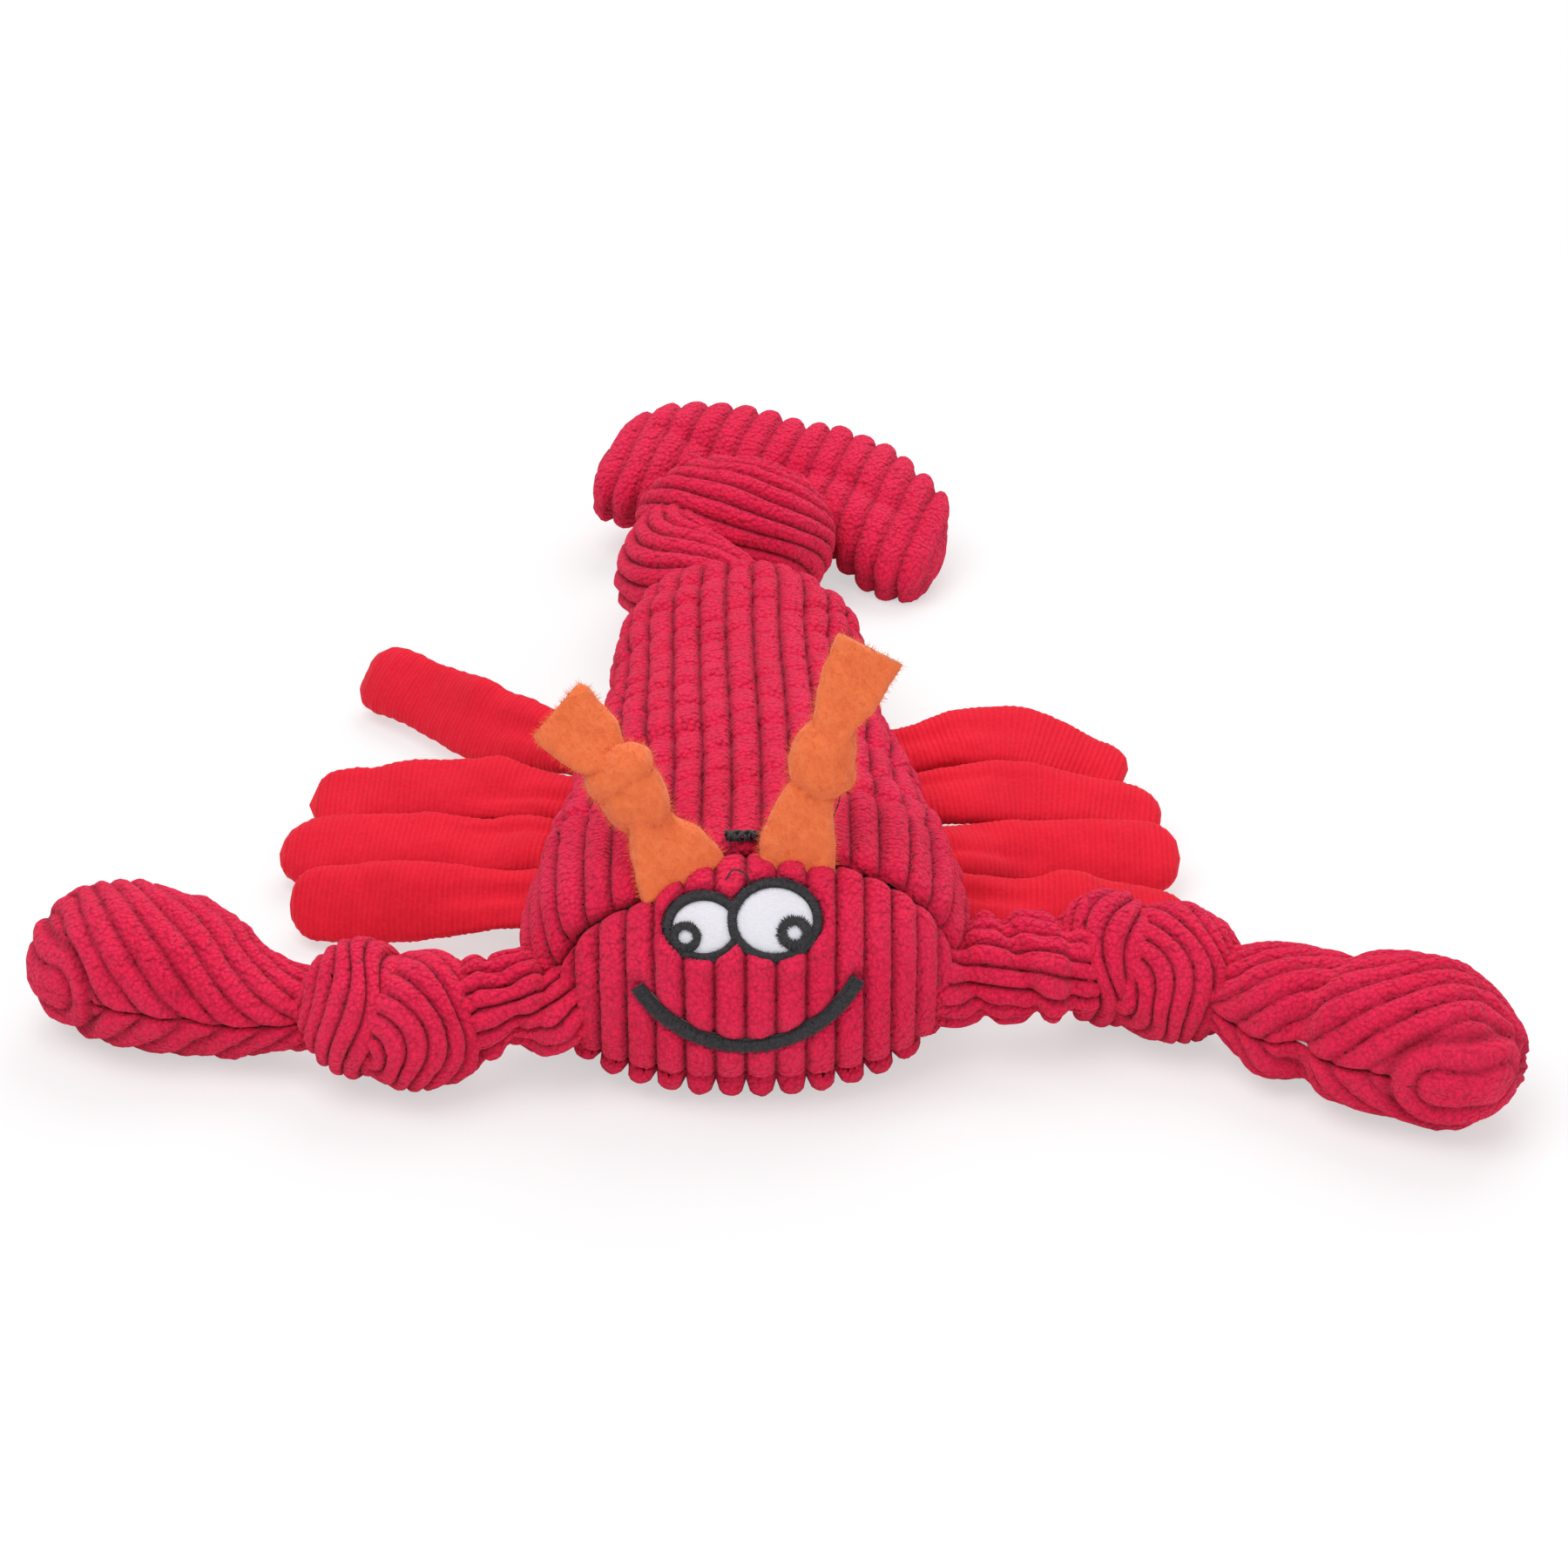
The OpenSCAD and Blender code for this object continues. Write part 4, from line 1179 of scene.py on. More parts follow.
def joint_place(name):
    return np.array(next(j["pos_m"] for j in frame["joints"] if j["name"] == name)) / MM


# ---------------------------------------------------------------- arms


def arm_frame(side):
    """The arm's lift and wrist joints, the middle of its knot and the direction outward along the arm between
    those joints.
    """
    lift, wrist = joint_place(f"{side}_arm_lift"), joint_place(f"{side}_claw_swing")
    low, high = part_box(f"{side}_arm_knot")
    middle = (np.array(low) + np.array(high)) / 2 / MM
    out = unit((wrist - lift) * np.array([1, 1, 0]))
    return lift, middle, wrist, out


def sleeve(side):
    lift, _, _, out = arm_frame(side)
    sign = SIDES[side]
    shoulder = joint_place(f"{side}_arm_swing")
    shape = Shape()
    path = [[sign * 42.0, shoulder[1] + 2, 25], [sign * 52.0, shoulder[1], 23],
            (shoulder + lift) / 2 + [sign, -1, 1.5],
            lift + out * 5 + [0, -1, 1], lift + out * 17]
    half = [11, 14.5, 15.0, 15.5, 10] if side == "right" else [11, 14, 13.0, 13.5, 10]
    tube(shape, path, half, [10, 13, 13, 13.5, 10], crumple=1.9, step=0.9, seed=3 if side == "left" else 6,
         pitch=6.4,
         turn=1.5 if side == "left" else -0.6,
         creases=[(0.38, 2.6, 2.4, 4.0), (0.6, 3.0, 2.2, -4.5), (0.82, 2.6, 2.4, 3.0)])
    obj = shape.build(f"{side}_sleeve_cloth", corduroy())
    return dress(obj, f"sleeve_{side}", [f"{side}_arm_sleeve"],
                 blend=("trunk", (sign * 50, shoulder[1], 22), (shoulder[0] + sign * 6, shoulder[1], 22)))


def arm_knot(side):
    _, middle, _, out = arm_frame(side)
    up = np.array([0, 0, 1.0])
    across = unit(np.array([-out[1], out[0], 0]))
    across = across * (-1 if across[1] > 0 else 1)
    axes = (out, across, up)
    shape = Shape()
    if side == "left":
        # wound lengthwise on the outer side, round a swirl that faces the front on the inner side
        ball(shape, middle + out * 9 + up * 1.5 + across * 1, (14.5, 17.5, 18),
             (out + up * 0.25, across, up - out * 0.25),
             out + up * 0.2 - across * 0.1, seed=1)
        ball(shape, middle - out * 8 - up * 1.5 + across * 2, (18.5, 18.5, 18), axes,
             across * 0.95 + out * 0.7 - up * 0.05, seed=2)
    else:
        ball(shape, middle - out * 10 + up * 1.5, (15, 17.5, 18), axes, out - up * 0.05 + across * 0.1,
             seed=3)
        ball(shape, middle + out * 7 - up * 0.5 + across * 1, (19.5, 19.5, 18.5), axes,
             across * 0.9 - out * 0.75 + up * 0.05, seed=4)
    ends = [middle - out * 25, middle - out * 17, middle - out * 6, middle + out * 6, middle + out * 17,
            middle + out * 26]
    tube(shape, ends, [4, 9, 11, 11, 9, 4], [4, 9, 11, 11, 9, 4], turn=1.2, crumple=0.8, step=1.2, pitch=5.6)
    obj = shape.build(f"{side}_knot_cloth", corduroy())
    return dress(obj, f"knot_{side}", [f"{side}_arm_knot"])


CLAW_SHAPE = {
    "left": [(-0.20, 9, 8.5, 19, 0), (-0.08, 11, 10, 17.5, 0), (0.03, 12.5, 11, 16.5, 0.5),
             (0.16, 15.5, 14, 17, 1.0),
             (0.30, 19.5, 17, 18.5, 0.5), (0.46, 22, 19.5, 20, 0), (0.62, 22.5, 20, 20.5, 0),
             (0.76, 21, 18.8, 20, -0.5),
             (0.88, 17.5, 15.5, 19.5, -1), (0.955, 12.5, 11, 19, -1), (0.99, 7, 6, 18.6, -1),
             (1.0, 1.2, 1.0, 18.5, -1)],
    "right": [(-0.20, 10, 9, 20, 0), (-0.08, 12, 11, 18, 0), (0.03, 15.5, 14, 17.5, 0),
              (0.14, 18, 16, 18, 1.0),
              (0.27, 18, 16, 18.5, 0.5), (0.42, 21.5, 18.8, 19.5, 0), (0.6, 22.5, 20, 20.5, -0.5),
              (0.76, 21.5, 19, 20, -0.5),
              (0.88, 17.5, 15.5, 19, 0), (0.955, 12.5, 11, 18.4, 0), (0.99, 7, 6, 18, 0),
              (1.0, 1.2, 1.0, 18, 0)],
}


def claw_rings(side, count=120):
    """Evenly spaced sections of a claw: place along it, half width, half height, height and shift."""
    rows = np.array([[s * CLAW_LENGTH[side], 0, z, w, h, b] for s, w, h, z, b in CLAW_SHAPE[side]])
    return spline(rows, count)[0][:, [0, 3, 4, 2, 5]]


def claw_frame(side):
    """Wrist of a claw, the direction to its tip and the direction to its front."""
    wrist = joint_place(f"{side}_claw_swing") * np.array([1, 1, 0])
    low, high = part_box(f"{side}_claw_bottom_panel")
    out = unit(((np.array(low) + np.array(high)) / 2 / MM - wrist) * np.array([1, 1, 0]))
    front = np.array([-out[1], out[0], 0])
    return wrist, out, front * (-1 if front[1] > 0 else 1)
CLAW_LENGTH = {"left": 73.0, "right": 75.0}


def claw_half(side, top):
    """One cloth half of a claw, from its side seam to its side seam, with slanting ribs."""
    wrist, out, front = claw_frame(side)
    pitch, height = 6.6, fabric().wale_height / MM * 0.92
    rings = claw_rings(side)
    n = 84
    grid = np.zeros((len(rings), n, 3))
    arc, girth = np.zeros((len(rings), n)), np.zeros(len(rings))
    for i, (x, w, h, z, shift) in enumerate(rings):
        a = np.linspace(0, math.pi, 181)
        yy, zz = w * signed_power(np.cos(a), 0.92), h * signed_power(np.sin(a), 0.92)
        s = np.concatenate([[0], np.cumsum(np.hypot(np.diff(yy), np.diff(zz)))])
        arc[i] = np.linspace(0, s[-1], n)
        yy, zz = np.interp(arc[i], s, yy), np.interp(arc[i], s, zz) * (1 if top else -1)
        grid[i] = (wrist + out * x + front * (shift + yy)[:, None] + np.array([0, 0, 1]) * (z + zz)[:, None])
        girth[i] = s[-1]
    core = wrist + out * rings[:, :1] + front * rings[:, 4:] + np.array([0, 0, 1]) * rings[:, 3:4]
    normal = grid_normals(grid, away=core[:, None])
    x = rings[:, 0][:, None]
    squeeze = np.clip(girth / 58, 0.5, 1)[:, None]
    slant = math.radians(40)
    curve = 5.0 * np.sin(arc / girth[:, None].clip(1) * math.pi)
    q = ((arc / squeeze) * math.cos(slant) - (x + curve) * math.sin(slant)) / pitch
    ribs = rib(q, 0.85)
    edge = np.minimum(arc, girth[:, None] - arc)
    # round the tip the ribs lie in loops, across the seam
    length = CLAW_LENGTH[side]
    ends = [wrist + out * length * s + front * f + np.array([0, 0, z]) for s, f,
            z in ((0.80, 17, 20), (0.97, 7, 19))]
    to = ends[1] - ends[0]
    share = np.clip(((grid - ends[0]) @ to) / (to @ to), 0, 1)
    away = np.linalg.norm(grid - ends[0] - share[..., None] * to, axis=2)
    inner = ease((13.5 - away) / 1.5)
    seam = gauss(away - 13.5, 1.3)
    ribs = mix(ribs * rounded_end(edge + 0.5, 3.0), rib(away / 6.6, 0.85), inner)
    pucker = gauss(np.hypot(x - length * 0.27, (arc - 5) * 0.8), 5.5) * (3.2 if side == "right" else 1.8)
    waist = gauss(x - length * 0.26 - arc * 0.12, 3.2) * (1.7 if side == "right" else 0.8)
    lift = (ribs - 0.5) * height * (0.55 + 0.45 * squeeze) - 1.5 * (1 - rounded_end(edge, 3.0)) * (1 - inner)
    lift = lift - 1.5 * seam - pucker - waist + LUMPS.at(grid, (14, 14, 14)) * 1.2
    lift = lift + FOLDS.at(grid, (7, 7, 7)) * 1.1 * (1.35 - squeeze) + pile(grid)
    fade = np.clip(np.minimum(rings[:, 1], rings[:, 2]) / 6, 0, 1)[:, None]
    grid = grid + normal * (lift * fade)[..., None]
    grid[-1] = mix(grid[-1], core[-1], 0.98)
    grid[..., 2] = np.maximum(grid[..., 2], FLOOR_GAP)
    shape = Shape()
    # painted shade: rib_height is lowered along the sunken seam round the tip, so the corduroy colours that
    # seam darker
    shape.add(grid, outward_faces(grid, normal, grid_faces(*grid.shape[:2])), ribs * (1 - 0.7 * seam))
    word = "top" if top else "bottom"
    obj = shape.build(f"{side}_claw_{word}_cloth", corduroy(), thickness=1.0)
    return dress(obj, f"claw_{side}", [f"{side}_claw_{word}_panel"],
                 blend=(f"knot_{side}", tuple(wrist + [0, 0, 18] - out * 10),
                        tuple(wrist + [0, 0, 18] + out * 8)))


def claw_fill(side):
    """The stuffing of a claw, a little smaller than its cloth."""
    wrist, out, front = claw_frame(side)
    rings = claw_rings(side, 60)
    rings = rings[(rings[:, 0] > 4) & (rings[:, 0] < CLAW_LENGTH[side] - 5)]
    a = np.linspace(0, 2 * math.pi, 48, endpoint=False)
    w, h = np.maximum(rings[:, 1] - 5, 1.5)[:, None], np.maximum(rings[:, 2] - 5, 1.5)[:, None]
    grid = ((wrist + out * rings[:, :1])[:, None] + front * (rings[:, 4:] + w * np.cos(a))[..., None]
            + np.array([0, 0, 1]) * (rings[:, 3:4] + h * np.sin(a))[..., None])
    core = grid.mean(1, keepdims=True)
    normal = grid_normals(grid, wrap_cols=True, away=core)
    grid = grid + normal * (FOLDS.at(grid, (9, 9, 9)) * 0.6)[..., None]
    shape = Shape()
    shape.add(grid, tube_faces(grid, normal))
    obj = shape.build(f"{side}_claw_filling", filling())
    return dress(obj, f"claw_{side}", [f"{side}_claw_stuffing"])


# ---------------------------------------------------------------- legs

# root, bend and tip of each leg, front one last, with how much it is rolled onto its edge, in degrees
LEGS = {
    "left": [((-50.6, 26, 18), (-80, 56, 15), (-116.6, 103, 11), 46),
             ((-52.4, -1, 18), (-88, 13, 17), (-128, 24, 9), 22),
             ((-53.3, -26, 18), (-92, -14, 15), (-134, -2, 8), 20),
             ((-56.5, -48, 18), (-90, -41, 14), (-124, -31, 9), 38)],
    "right": [((44.6, 36, 18), (76, 42, 21), (111, 36, 9), 18),
              ((47.7, 10, 18), (80, 15, 17), (119, 14, 8), 20),
              ((53, -18, 18), (84, -10, 12), (123, -8, 10), 26),
              ((55.8, -45, 18), (86, -44, 14), (116, -40, 8), 20)],
}


def leg(side, index):
    sign = SIDES[side]
    root, bend, tip, roll = LEGS[side][index]
    hinge = joint_place(f"{side}_leg_{index + 1}_flap")
    low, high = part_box(f"{side}_leg_{index + 1}")
    end = np.array([(low[0] if sign < 0 else high[0]) / MM, tip[1], tip[2]])
    start = hinge - np.array([sign * 9.0, 0, 0])
    mid = (hinge + end) / 2 + (np.array(bend) - (np.array(root) + np.array(tip)) / 2)
    line, total = spline([start, hinge, mid, end], 90)
    tangent = unit(np.gradient(line, axis=0))
    t = np.linspace(0, 1, len(line))
    side_v = unit(np.cross(tangent, np.array([0, 0, 1.0])))
    up_v = np.cross(side_v, tangent)
    twist = -np.radians(roll) * (0.45 + 0.55 * ease((t - 0.1) / 0.5)) * sign
    wide = side_v * np.cos(twist)[:, None] + up_v * np.sin(twist)[:, None]
    high_v = -side_v * np.sin(twist)[:, None] + up_v * np.cos(twist)[:, None]
    half_w = 11.2 * (0.84 + 0.18 * ease(t * 2.2)) * fullness(np.clip((t - 0.87) / 0.13, 0, 1), 2.3)
    half_w = half_w * (1 - 0.05 * np.sin(t * 9 + index * 1.7))
    half_t = (4.3 + 0.7 * np.sin(t * 7 + index)) * fullness(np.clip((t - 0.93) / 0.07, 0, 1), 2.0)
    half_t = half_t * (0.75 + 0.25 * ease(t * 3))
    n = 60
    a = np.linspace(0, 2 * math.pi, n, endpoint=False)
    ca, sa = np.cos(a), np.sin(a)
    grid = (line[:, None] + wide[:, None] * (half_w[:, None] * signed_power(ca, 0.8))[..., None]
            + high_v[:, None] * (half_t[:, None] * signed_power(sa, 0.8))[..., None])
    normal = grid_normals(grid, wrap_cols=True, away=line[:, None])
    dent = FOLDS.at(grid + index * 31, (14, 14, 14)) * 1.6 + FOLDS.at(grid + index * 7, (6, 6, 6)) * 0.4
    fold = -1.7 * gauss(ca + 0.3 * np.sin(index * 2.1), 0.2)[None, :] * (sa > 0)[None, :]
    fold = fold * ease((0.6 - t) / 0.4)[:, None]
    rows_of_knit = 0.13 * np.sin(t * total / 1.6 * 2 * math.pi)[:, None] * np.ones((1, n))
    lift = (dent + fold + rows_of_knit + pile(grid, 0.14)) * np.clip(half_t / 2.5, 0, 1)[:, None]
    grid = grid + normal * lift[..., None]
    grid[..., 2] = np.maximum(grid[..., 2], 0.3)
    shape = Shape()
    shape.add(grid, tube_faces(grid, normal), np.repeat((t * total / 1.6)[:, None], n, 1))
    obj = shape.build(f"{side}_leg_{index + 1}_cloth", velour())
    obj.data.attributes["rib_height"].name = "knit_row"
    return dress(obj, f"leg_{side}_{index + 1}", [f"{side}_leg_{index + 1}"],
                 blend=("trunk", tuple(hinge - [sign * 4, 0, 0]), tuple(hinge + [sign * 7, 0, 0])))


# ---------------------------------------------------------------- antennae


def strip(shape, path, width, thick, up, step=0.8, seed=0, power_w=0.45):
    """Folded fleece strip along a path; its flat side faces along up."""
    data = np.column_stack([np.asarray(path, float), width, thick, np.asarray(up, float)])
    total = np.sum(np.linalg.norm(np.diff(data[:, :3], axis=0), axis=1))
    line, total = spline(data, max(16, int(total / step)))
    centre, half_w, half_t = line[:, :3], line[:, 3], line[:, 4]
    tangent = unit(np.gradient(centre, axis=0))
    side = unit(np.cross(tangent, line[:, 5:8]))
    out = np.cross(side, tangent)
    n = 64
    grid = np.zeros((len(line), n, 3))
    for i in range(len(line)):
        ang, _ = even_ring(half_w[i], half_t[i], n, power_w)
        grid[i] = (centre[i] + side[i] * (half_w[i] * signed_power(np.cos(ang), power_w))[:, None]
                   + out[i] * (half_t[i] * signed_power(np.sin(ang), 0.8))[:, None])
    normal = grid_normals(grid, wrap_cols=True)
    if np.sum(normal * (grid - centre[:, None])) < 0:
        normal = -normal
    where = grid + seed * 19.0
    slit = gauss((np.arange(n) - n / 2) / n * 8, 0.16)[None, :] * -0.9
    lift = FOLDS.at(where, (7, 7, 7)) * 0.8 + FOLDS.at(where, (3, 3, 3)) * 0.3
    lift = lift + slit + PILE.at(grid, (1.0, 1.0, 1.0)) * 0.22
    grid = grid + normal * lift[..., None]
    faces = grid_faces(*grid.shape[:2], wrap_cols=True)
    flip = np.sum(np.cross(grid[3, 1] - grid[3, 0], grid[4, 0] - grid[3, 0]) * normal[3, 0]) < 0
    faces = [list(f) for f in (faces[:, ::-1] if flip else faces)]
    rows = len(line)
    for cap, back in ((list(range(n)), not flip), ([(rows - 1) * n + k for k in range(n)], flip)):
        faces.append(cap[::-1] if back else cap)
    shape.add(grid, faces)


def antenna(side):
    root = joint_place(f"{side}_antenna_nod")
    shape = Shape()
    if side == "left":
        # flared base, a long knot in the middle and a short upper end
        up = np.array([0.25, -0.85, 0.45])
        knot = root + [-9, 0, 15]
        strip(shape, [root + [5, -10, -7], root + [2, -8, -1], root + [-3, -4, 5.5], root + [-6, -2, 9],
                      knot],
              [12.5, 11.5, 7.0, 5.5, 6], [2.8, 3.4, 3.6, 4, 5], np.tile(up, (5, 1)), seed=1)
        strip(shape, [knot, root + [-13, 2, 21], root + [-18, 4, 26], root + [-25, 7, 32],
                      root + [-28, 8, 34.5]],
              [6, 5.2, 8.5, 10.0, 9.2], [5, 4, 3.0, 2.6, 2.2],
              np.array([up, up, [0.1, -0.8, 0.6], [0.0, -0.75, 0.66], [0.0, -0.75, 0.66]]), seed=2)
        axes = ([-0.5, 0.3, 0.82], [0.85, 0.1, 0.5], [0, -0.95, 0.35])
        ball(shape, knot + [0.5, 0, -0.5], (11.5, 8.6, 7.4), axes, (0.3, -0.9, 0.5), ribs_on=False, seed=5,
             floor=False, lumps=2.2)
        ball(shape, knot + [-2.5, 1, 4.5], (6.5, 8.8, 6.6), axes, (0.3, -0.9, 0.5), ribs_on=False, seed=6,
             floor=False, lumps=1.8)
    else:
        up = np.array([0.1, -0.85, 0.5])
        knot = root + [8, 5, 22]
        strip(shape, [root + [1, -6, -6], root + [2, -4, 2], root + [4, 0, 11], root + [6, 3, 16], knot],
              [9.8, 9.4, 7.4, 5.8, 6], [2.8, 3.0, 3.4, 4, 5], np.tile(up, (5, 1)), seed=3)
        strip(shape, [knot, root + [11, 9, 29], root + [14, 12, 35], root + [19, 16, 44],
                      root + [20.5, 17, 47]],
              [6, 5.6, 7.8, 9.3, 9.5], [5, 4, 3.0, 2.6, 2.4],
              np.array([up, up, [-0.05, -0.85, 0.5], [-0.1, -0.85, 0.5], [-0.1, -0.85, 0.5]]), seed=4)
        axes = ([0.4, 0.4, 0.82], [0.9, -0.1, -0.4], [0, -0.95, 0.35])
        ball(shape, knot + [-0.5, 0, -0.5], (11.0, 9.2, 7.4), axes, (0.3, -0.9, 0.5), ribs_on=False, seed=8,
             floor=False, lumps=2.2)
        ball(shape, knot + [1.2, 0, -4.5], (5.5, 8.4, 6.4), axes, (0.3, -0.9, 0.5), ribs_on=False, seed=9,
             floor=False, lumps=1.8)
    obj = shape.build(f"{side}_antenna_fleece", fleece())
    add_fuzz(obj, 1.3e6, 0.0019, 0.00007, fleece(), 3)
    return dress(obj, f"antenna_{side}", [f"{side}_antenna"],
                 blend=("trunk", tuple(root + [0, -5, -4]), tuple(root + [0, -2, 7])))


# ---------------------------------------------------------------- tail


def tail_sleeve():
    joint = joint_place("tail_swing")
    shape = Shape()
    path = [joint + [2, -22, 0], joint + [-3, -10, 0], joint + [-13, 4, 0], joint + [-23, 16, -0.5],
            joint + [-24, 30, 1], joint + [-10, 44, 2]]
    tube(shape, path, [13, 15, 17, 18, 16, 12], [13, 15, 17, 18, 17, 13], turn=1.9, step=1.2, seed=8,
         crumple=0.8,
         pitch=6.6, creases=[(0.2, 2.6, 2.6, 3.0)])
    obj = shape.build("tail_sleeve_cloth", corduroy())
    return dress(obj, "tail_root", ["tail_sleeve"],
                 blend=("trunk", tuple(joint + [0, -8, 0]), tuple(joint + [0, 10, 0])))


def tail_knot():
    low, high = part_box("tail_knot")
    middle = (np.array(low) + np.array(high)) / 2 / MM
    shape = Shape()
    # a wide turn over the top, whose ribs circle the place where the tail comes up at the lower left
    ball(shape, middle + [2.5, 2, 0.5], (32, 24.5, 24.5), ((1, 0.12, -0.16), (-0.12, 1, 0), (0.16, 0, 1)),
         (-0.42, -0.62, -0.62), pitch=6.4, height=2.3, seed=6, wander=0.1)
    core = [middle + [4, 12, 0], middle + [8, 20, -3], middle + [11, 28, -6]]
    tube(shape, core, [16, 14, 11], [14, 12, 10], turn=0.6, seed=9, crumple=0.8, pitch=6.0)
    obj = shape.build("tail_knot_cloth", corduroy())
    return dress(obj, "tail_root", ["tail_knot"])


FAN_HALF = 58.0
FAN_OUTLINE = [
    (0.0, 7, 45, 10.5), (0.2, 4, 45.5, 11), (0.4, -1, 44.5, 12), (0.6, -6, 42, 12.5), (0.78, -10, 37.5, 12),
    (0.9, -10, 32, 10.5), (0.97, -6, 25, 8), (1.0, 1, 17, 5.0)]


def fan_turned(p):
    """Points of the flat fan, put where it lies on the tail."""
    turn, pitch_up, roll = math.radians(-22), math.radians(22), math.radians(8)
    x, y, z = p[..., 0], p[..., 1], p[..., 2]
    x, z = x * math.cos(roll) + z * math.sin(roll), -x * math.sin(roll) + z * math.cos(roll)
    y, z = y * math.cos(pitch_up) - z * math.sin(pitch_up), y * math.sin(pitch_up) + z * math.cos(pitch_up)
    x, y = x * math.cos(turn) - y * math.sin(turn), x * math.sin(turn) + y * math.cos(turn)
    return np.stack([x, y, z], -1) + joint_place("fan_flap")


def fan_half(top):
    joint = joint_place("fan_flap")
    pitch, height = fabric().wale_pitch / MM * 1.04, fabric().wale_height / MM
    half = FAN_HALF
    xs = np.arange(-half + 0.01, half, pitch / 8)
    profile = np.array(FAN_OUTLINE)
    share = np.abs(xs) / half
    front, back, thick = (np.interp(share, profile[:, 0], profile[:, k]) for k in (1, 2, 3))
    scallop = rib(xs / pitch)
    front, back = front - 1.8 * (scallop - 0.5), back + 2.6 * (scallop - 0.5)
    n = 72
    a = np.linspace(0, math.pi, n)
    yy = -np.cos(a)[None, :]
    zz = signed_power(np.sin(a), 0.8)[None, :] * (1 if top else -1)
    middle, depth = (front + back) / 2, (back - front) / 2
    flat = np.stack([xs[:, None] + 0 * yy, middle[:, None] + depth[:, None] * yy, thick[:, None] * zz], -1)
    grid = fan_turned(flat)
    normal = grid_normals(grid, away=fan_turned(np.stack([xs, middle, 0 * xs], -1))[:, None])
    edge = depth[:, None] * (1 - np.abs(yy))
    ribs = scallop[:, None] * rounded_end(edge + 1.2, 4.0)
    lift = (ribs - 0.5) * height - 0.9 * (1 - rounded_end(edge + 0.3, 4.0))
    lift = lift + LUMPS.at(grid, (14, 14, 14)) * 1.3 + pile(grid)
    crease = gauss(flat[..., 1] - 18 - 3 * np.sin(flat[..., 0] / 9), 3.5) * 1.8 * (np.abs(flat[..., 0]) < 45)
    lift = (lift - crease) * np.clip(thick / 6, 0, 1)[:, None]
    grid = grid + normal * lift[..., None]
    grid[..., 2] = np.maximum(grid[..., 2], 0.3)
    # the cloth closes over each end
    seam = fan_turned(np.stack([xs[[0, -1]], middle[[0, -1]], np.zeros(2)], -1))
    first = [mix(grid[0], seam[0], s) + (seam[0] - seam[1]) / (2 * FAN_HALF) * 3.0 * math.sqrt(s)
             for s in (0.98, 0.75, 0.45, 0.2)]
    final = [mix(grid[-1], seam[1], s) + (seam[1] - seam[0]) / (2 * FAN_HALF) * 3.0 * math.sqrt(s)
             for s in (0.2, 0.45, 0.75, 0.98)]
    grid = np.concatenate([first, grid, final])
    normal = np.concatenate([normal[:1]] * 4 + [normal] + [normal[-1:]] * 4)
    ribs = np.concatenate([ribs[:1] * 0 + 0.8] * 4 + [ribs] + [ribs[-1:] * 0 + 0.8] * 4)
    shape = Shape()
    shape.add(grid, outward_faces(grid, normal, grid_faces(*grid.shape[:2])), ribs)
    word = "top" if top else "bottom"
    obj = shape.build(f"fan_{word}_cloth", corduroy(), thickness=1.0)
    ahead = unit(np.array([math.sin(math.radians(22)), math.cos(math.radians(22)), 0]))
    return dress(obj, "fan", [f"fan_{word}_panel"],
                 blend=("tail_root", tuple(joint - ahead * 6), tuple(joint + ahead * 6)))


def fan_fill():
    """The stuffing of the fan, a little smaller than its cloth."""
    xs = np.linspace(-51, 51, 60)
    profile = np.array(FAN_OUTLINE)
    front, back, thick = (np.interp(np.abs(xs) / FAN_HALF, profile[:, 0], profile[:, k]) for k in (1, 2, 3))
    a = np.linspace(0, 2 * math.pi, 48, endpoint=False)
    middle, depth = (front + back) / 2, (back - front) / 2 - 8
    flat = np.stack([xs[:, None] + 0 * a, middle[:, None] - depth[:, None] * np.cos(a),
                     (thick - 5.5)[:, None].clip(1.5) * np.sin(a)], -1)
    grid = fan_turned(flat)
    normal = grid_normals(grid, wrap_cols=True, away=grid.mean(1, keepdims=True))
    shape = Shape()
    shape.add(grid, tube_faces(grid, normal))
    obj = shape.build("fan_filling", filling())
    return dress(obj, "fan", ["fan_stuffing"])


# ---------------------------------------------------------------- threads


def thin_thread(shape, points, radius):
    line, _ = spline(points, 40)
    tangent = unit(np.gradient(line, axis=0))
    side = unit(np.cross(tangent, np.array([0.3, 0.2, 0.93])))
    out = np.cross(side, tangent)
    a = np.linspace(0, 2 * math.pi, 8, endpoint=False)
    grid = line[:, None] + radius * (side[:, None] * np.cos(a)[None, :, None] + out[:, None]
                                     * np.sin(a)[None, :, None])
    faces = [list(f) for f in grid_faces(len(line), 8, wrap_cols=True)]
    faces += [list(range(8)), [(len(line) - 1) * 8 + k for k in range(8)][::-1]]
    shape.add(grid, faces)


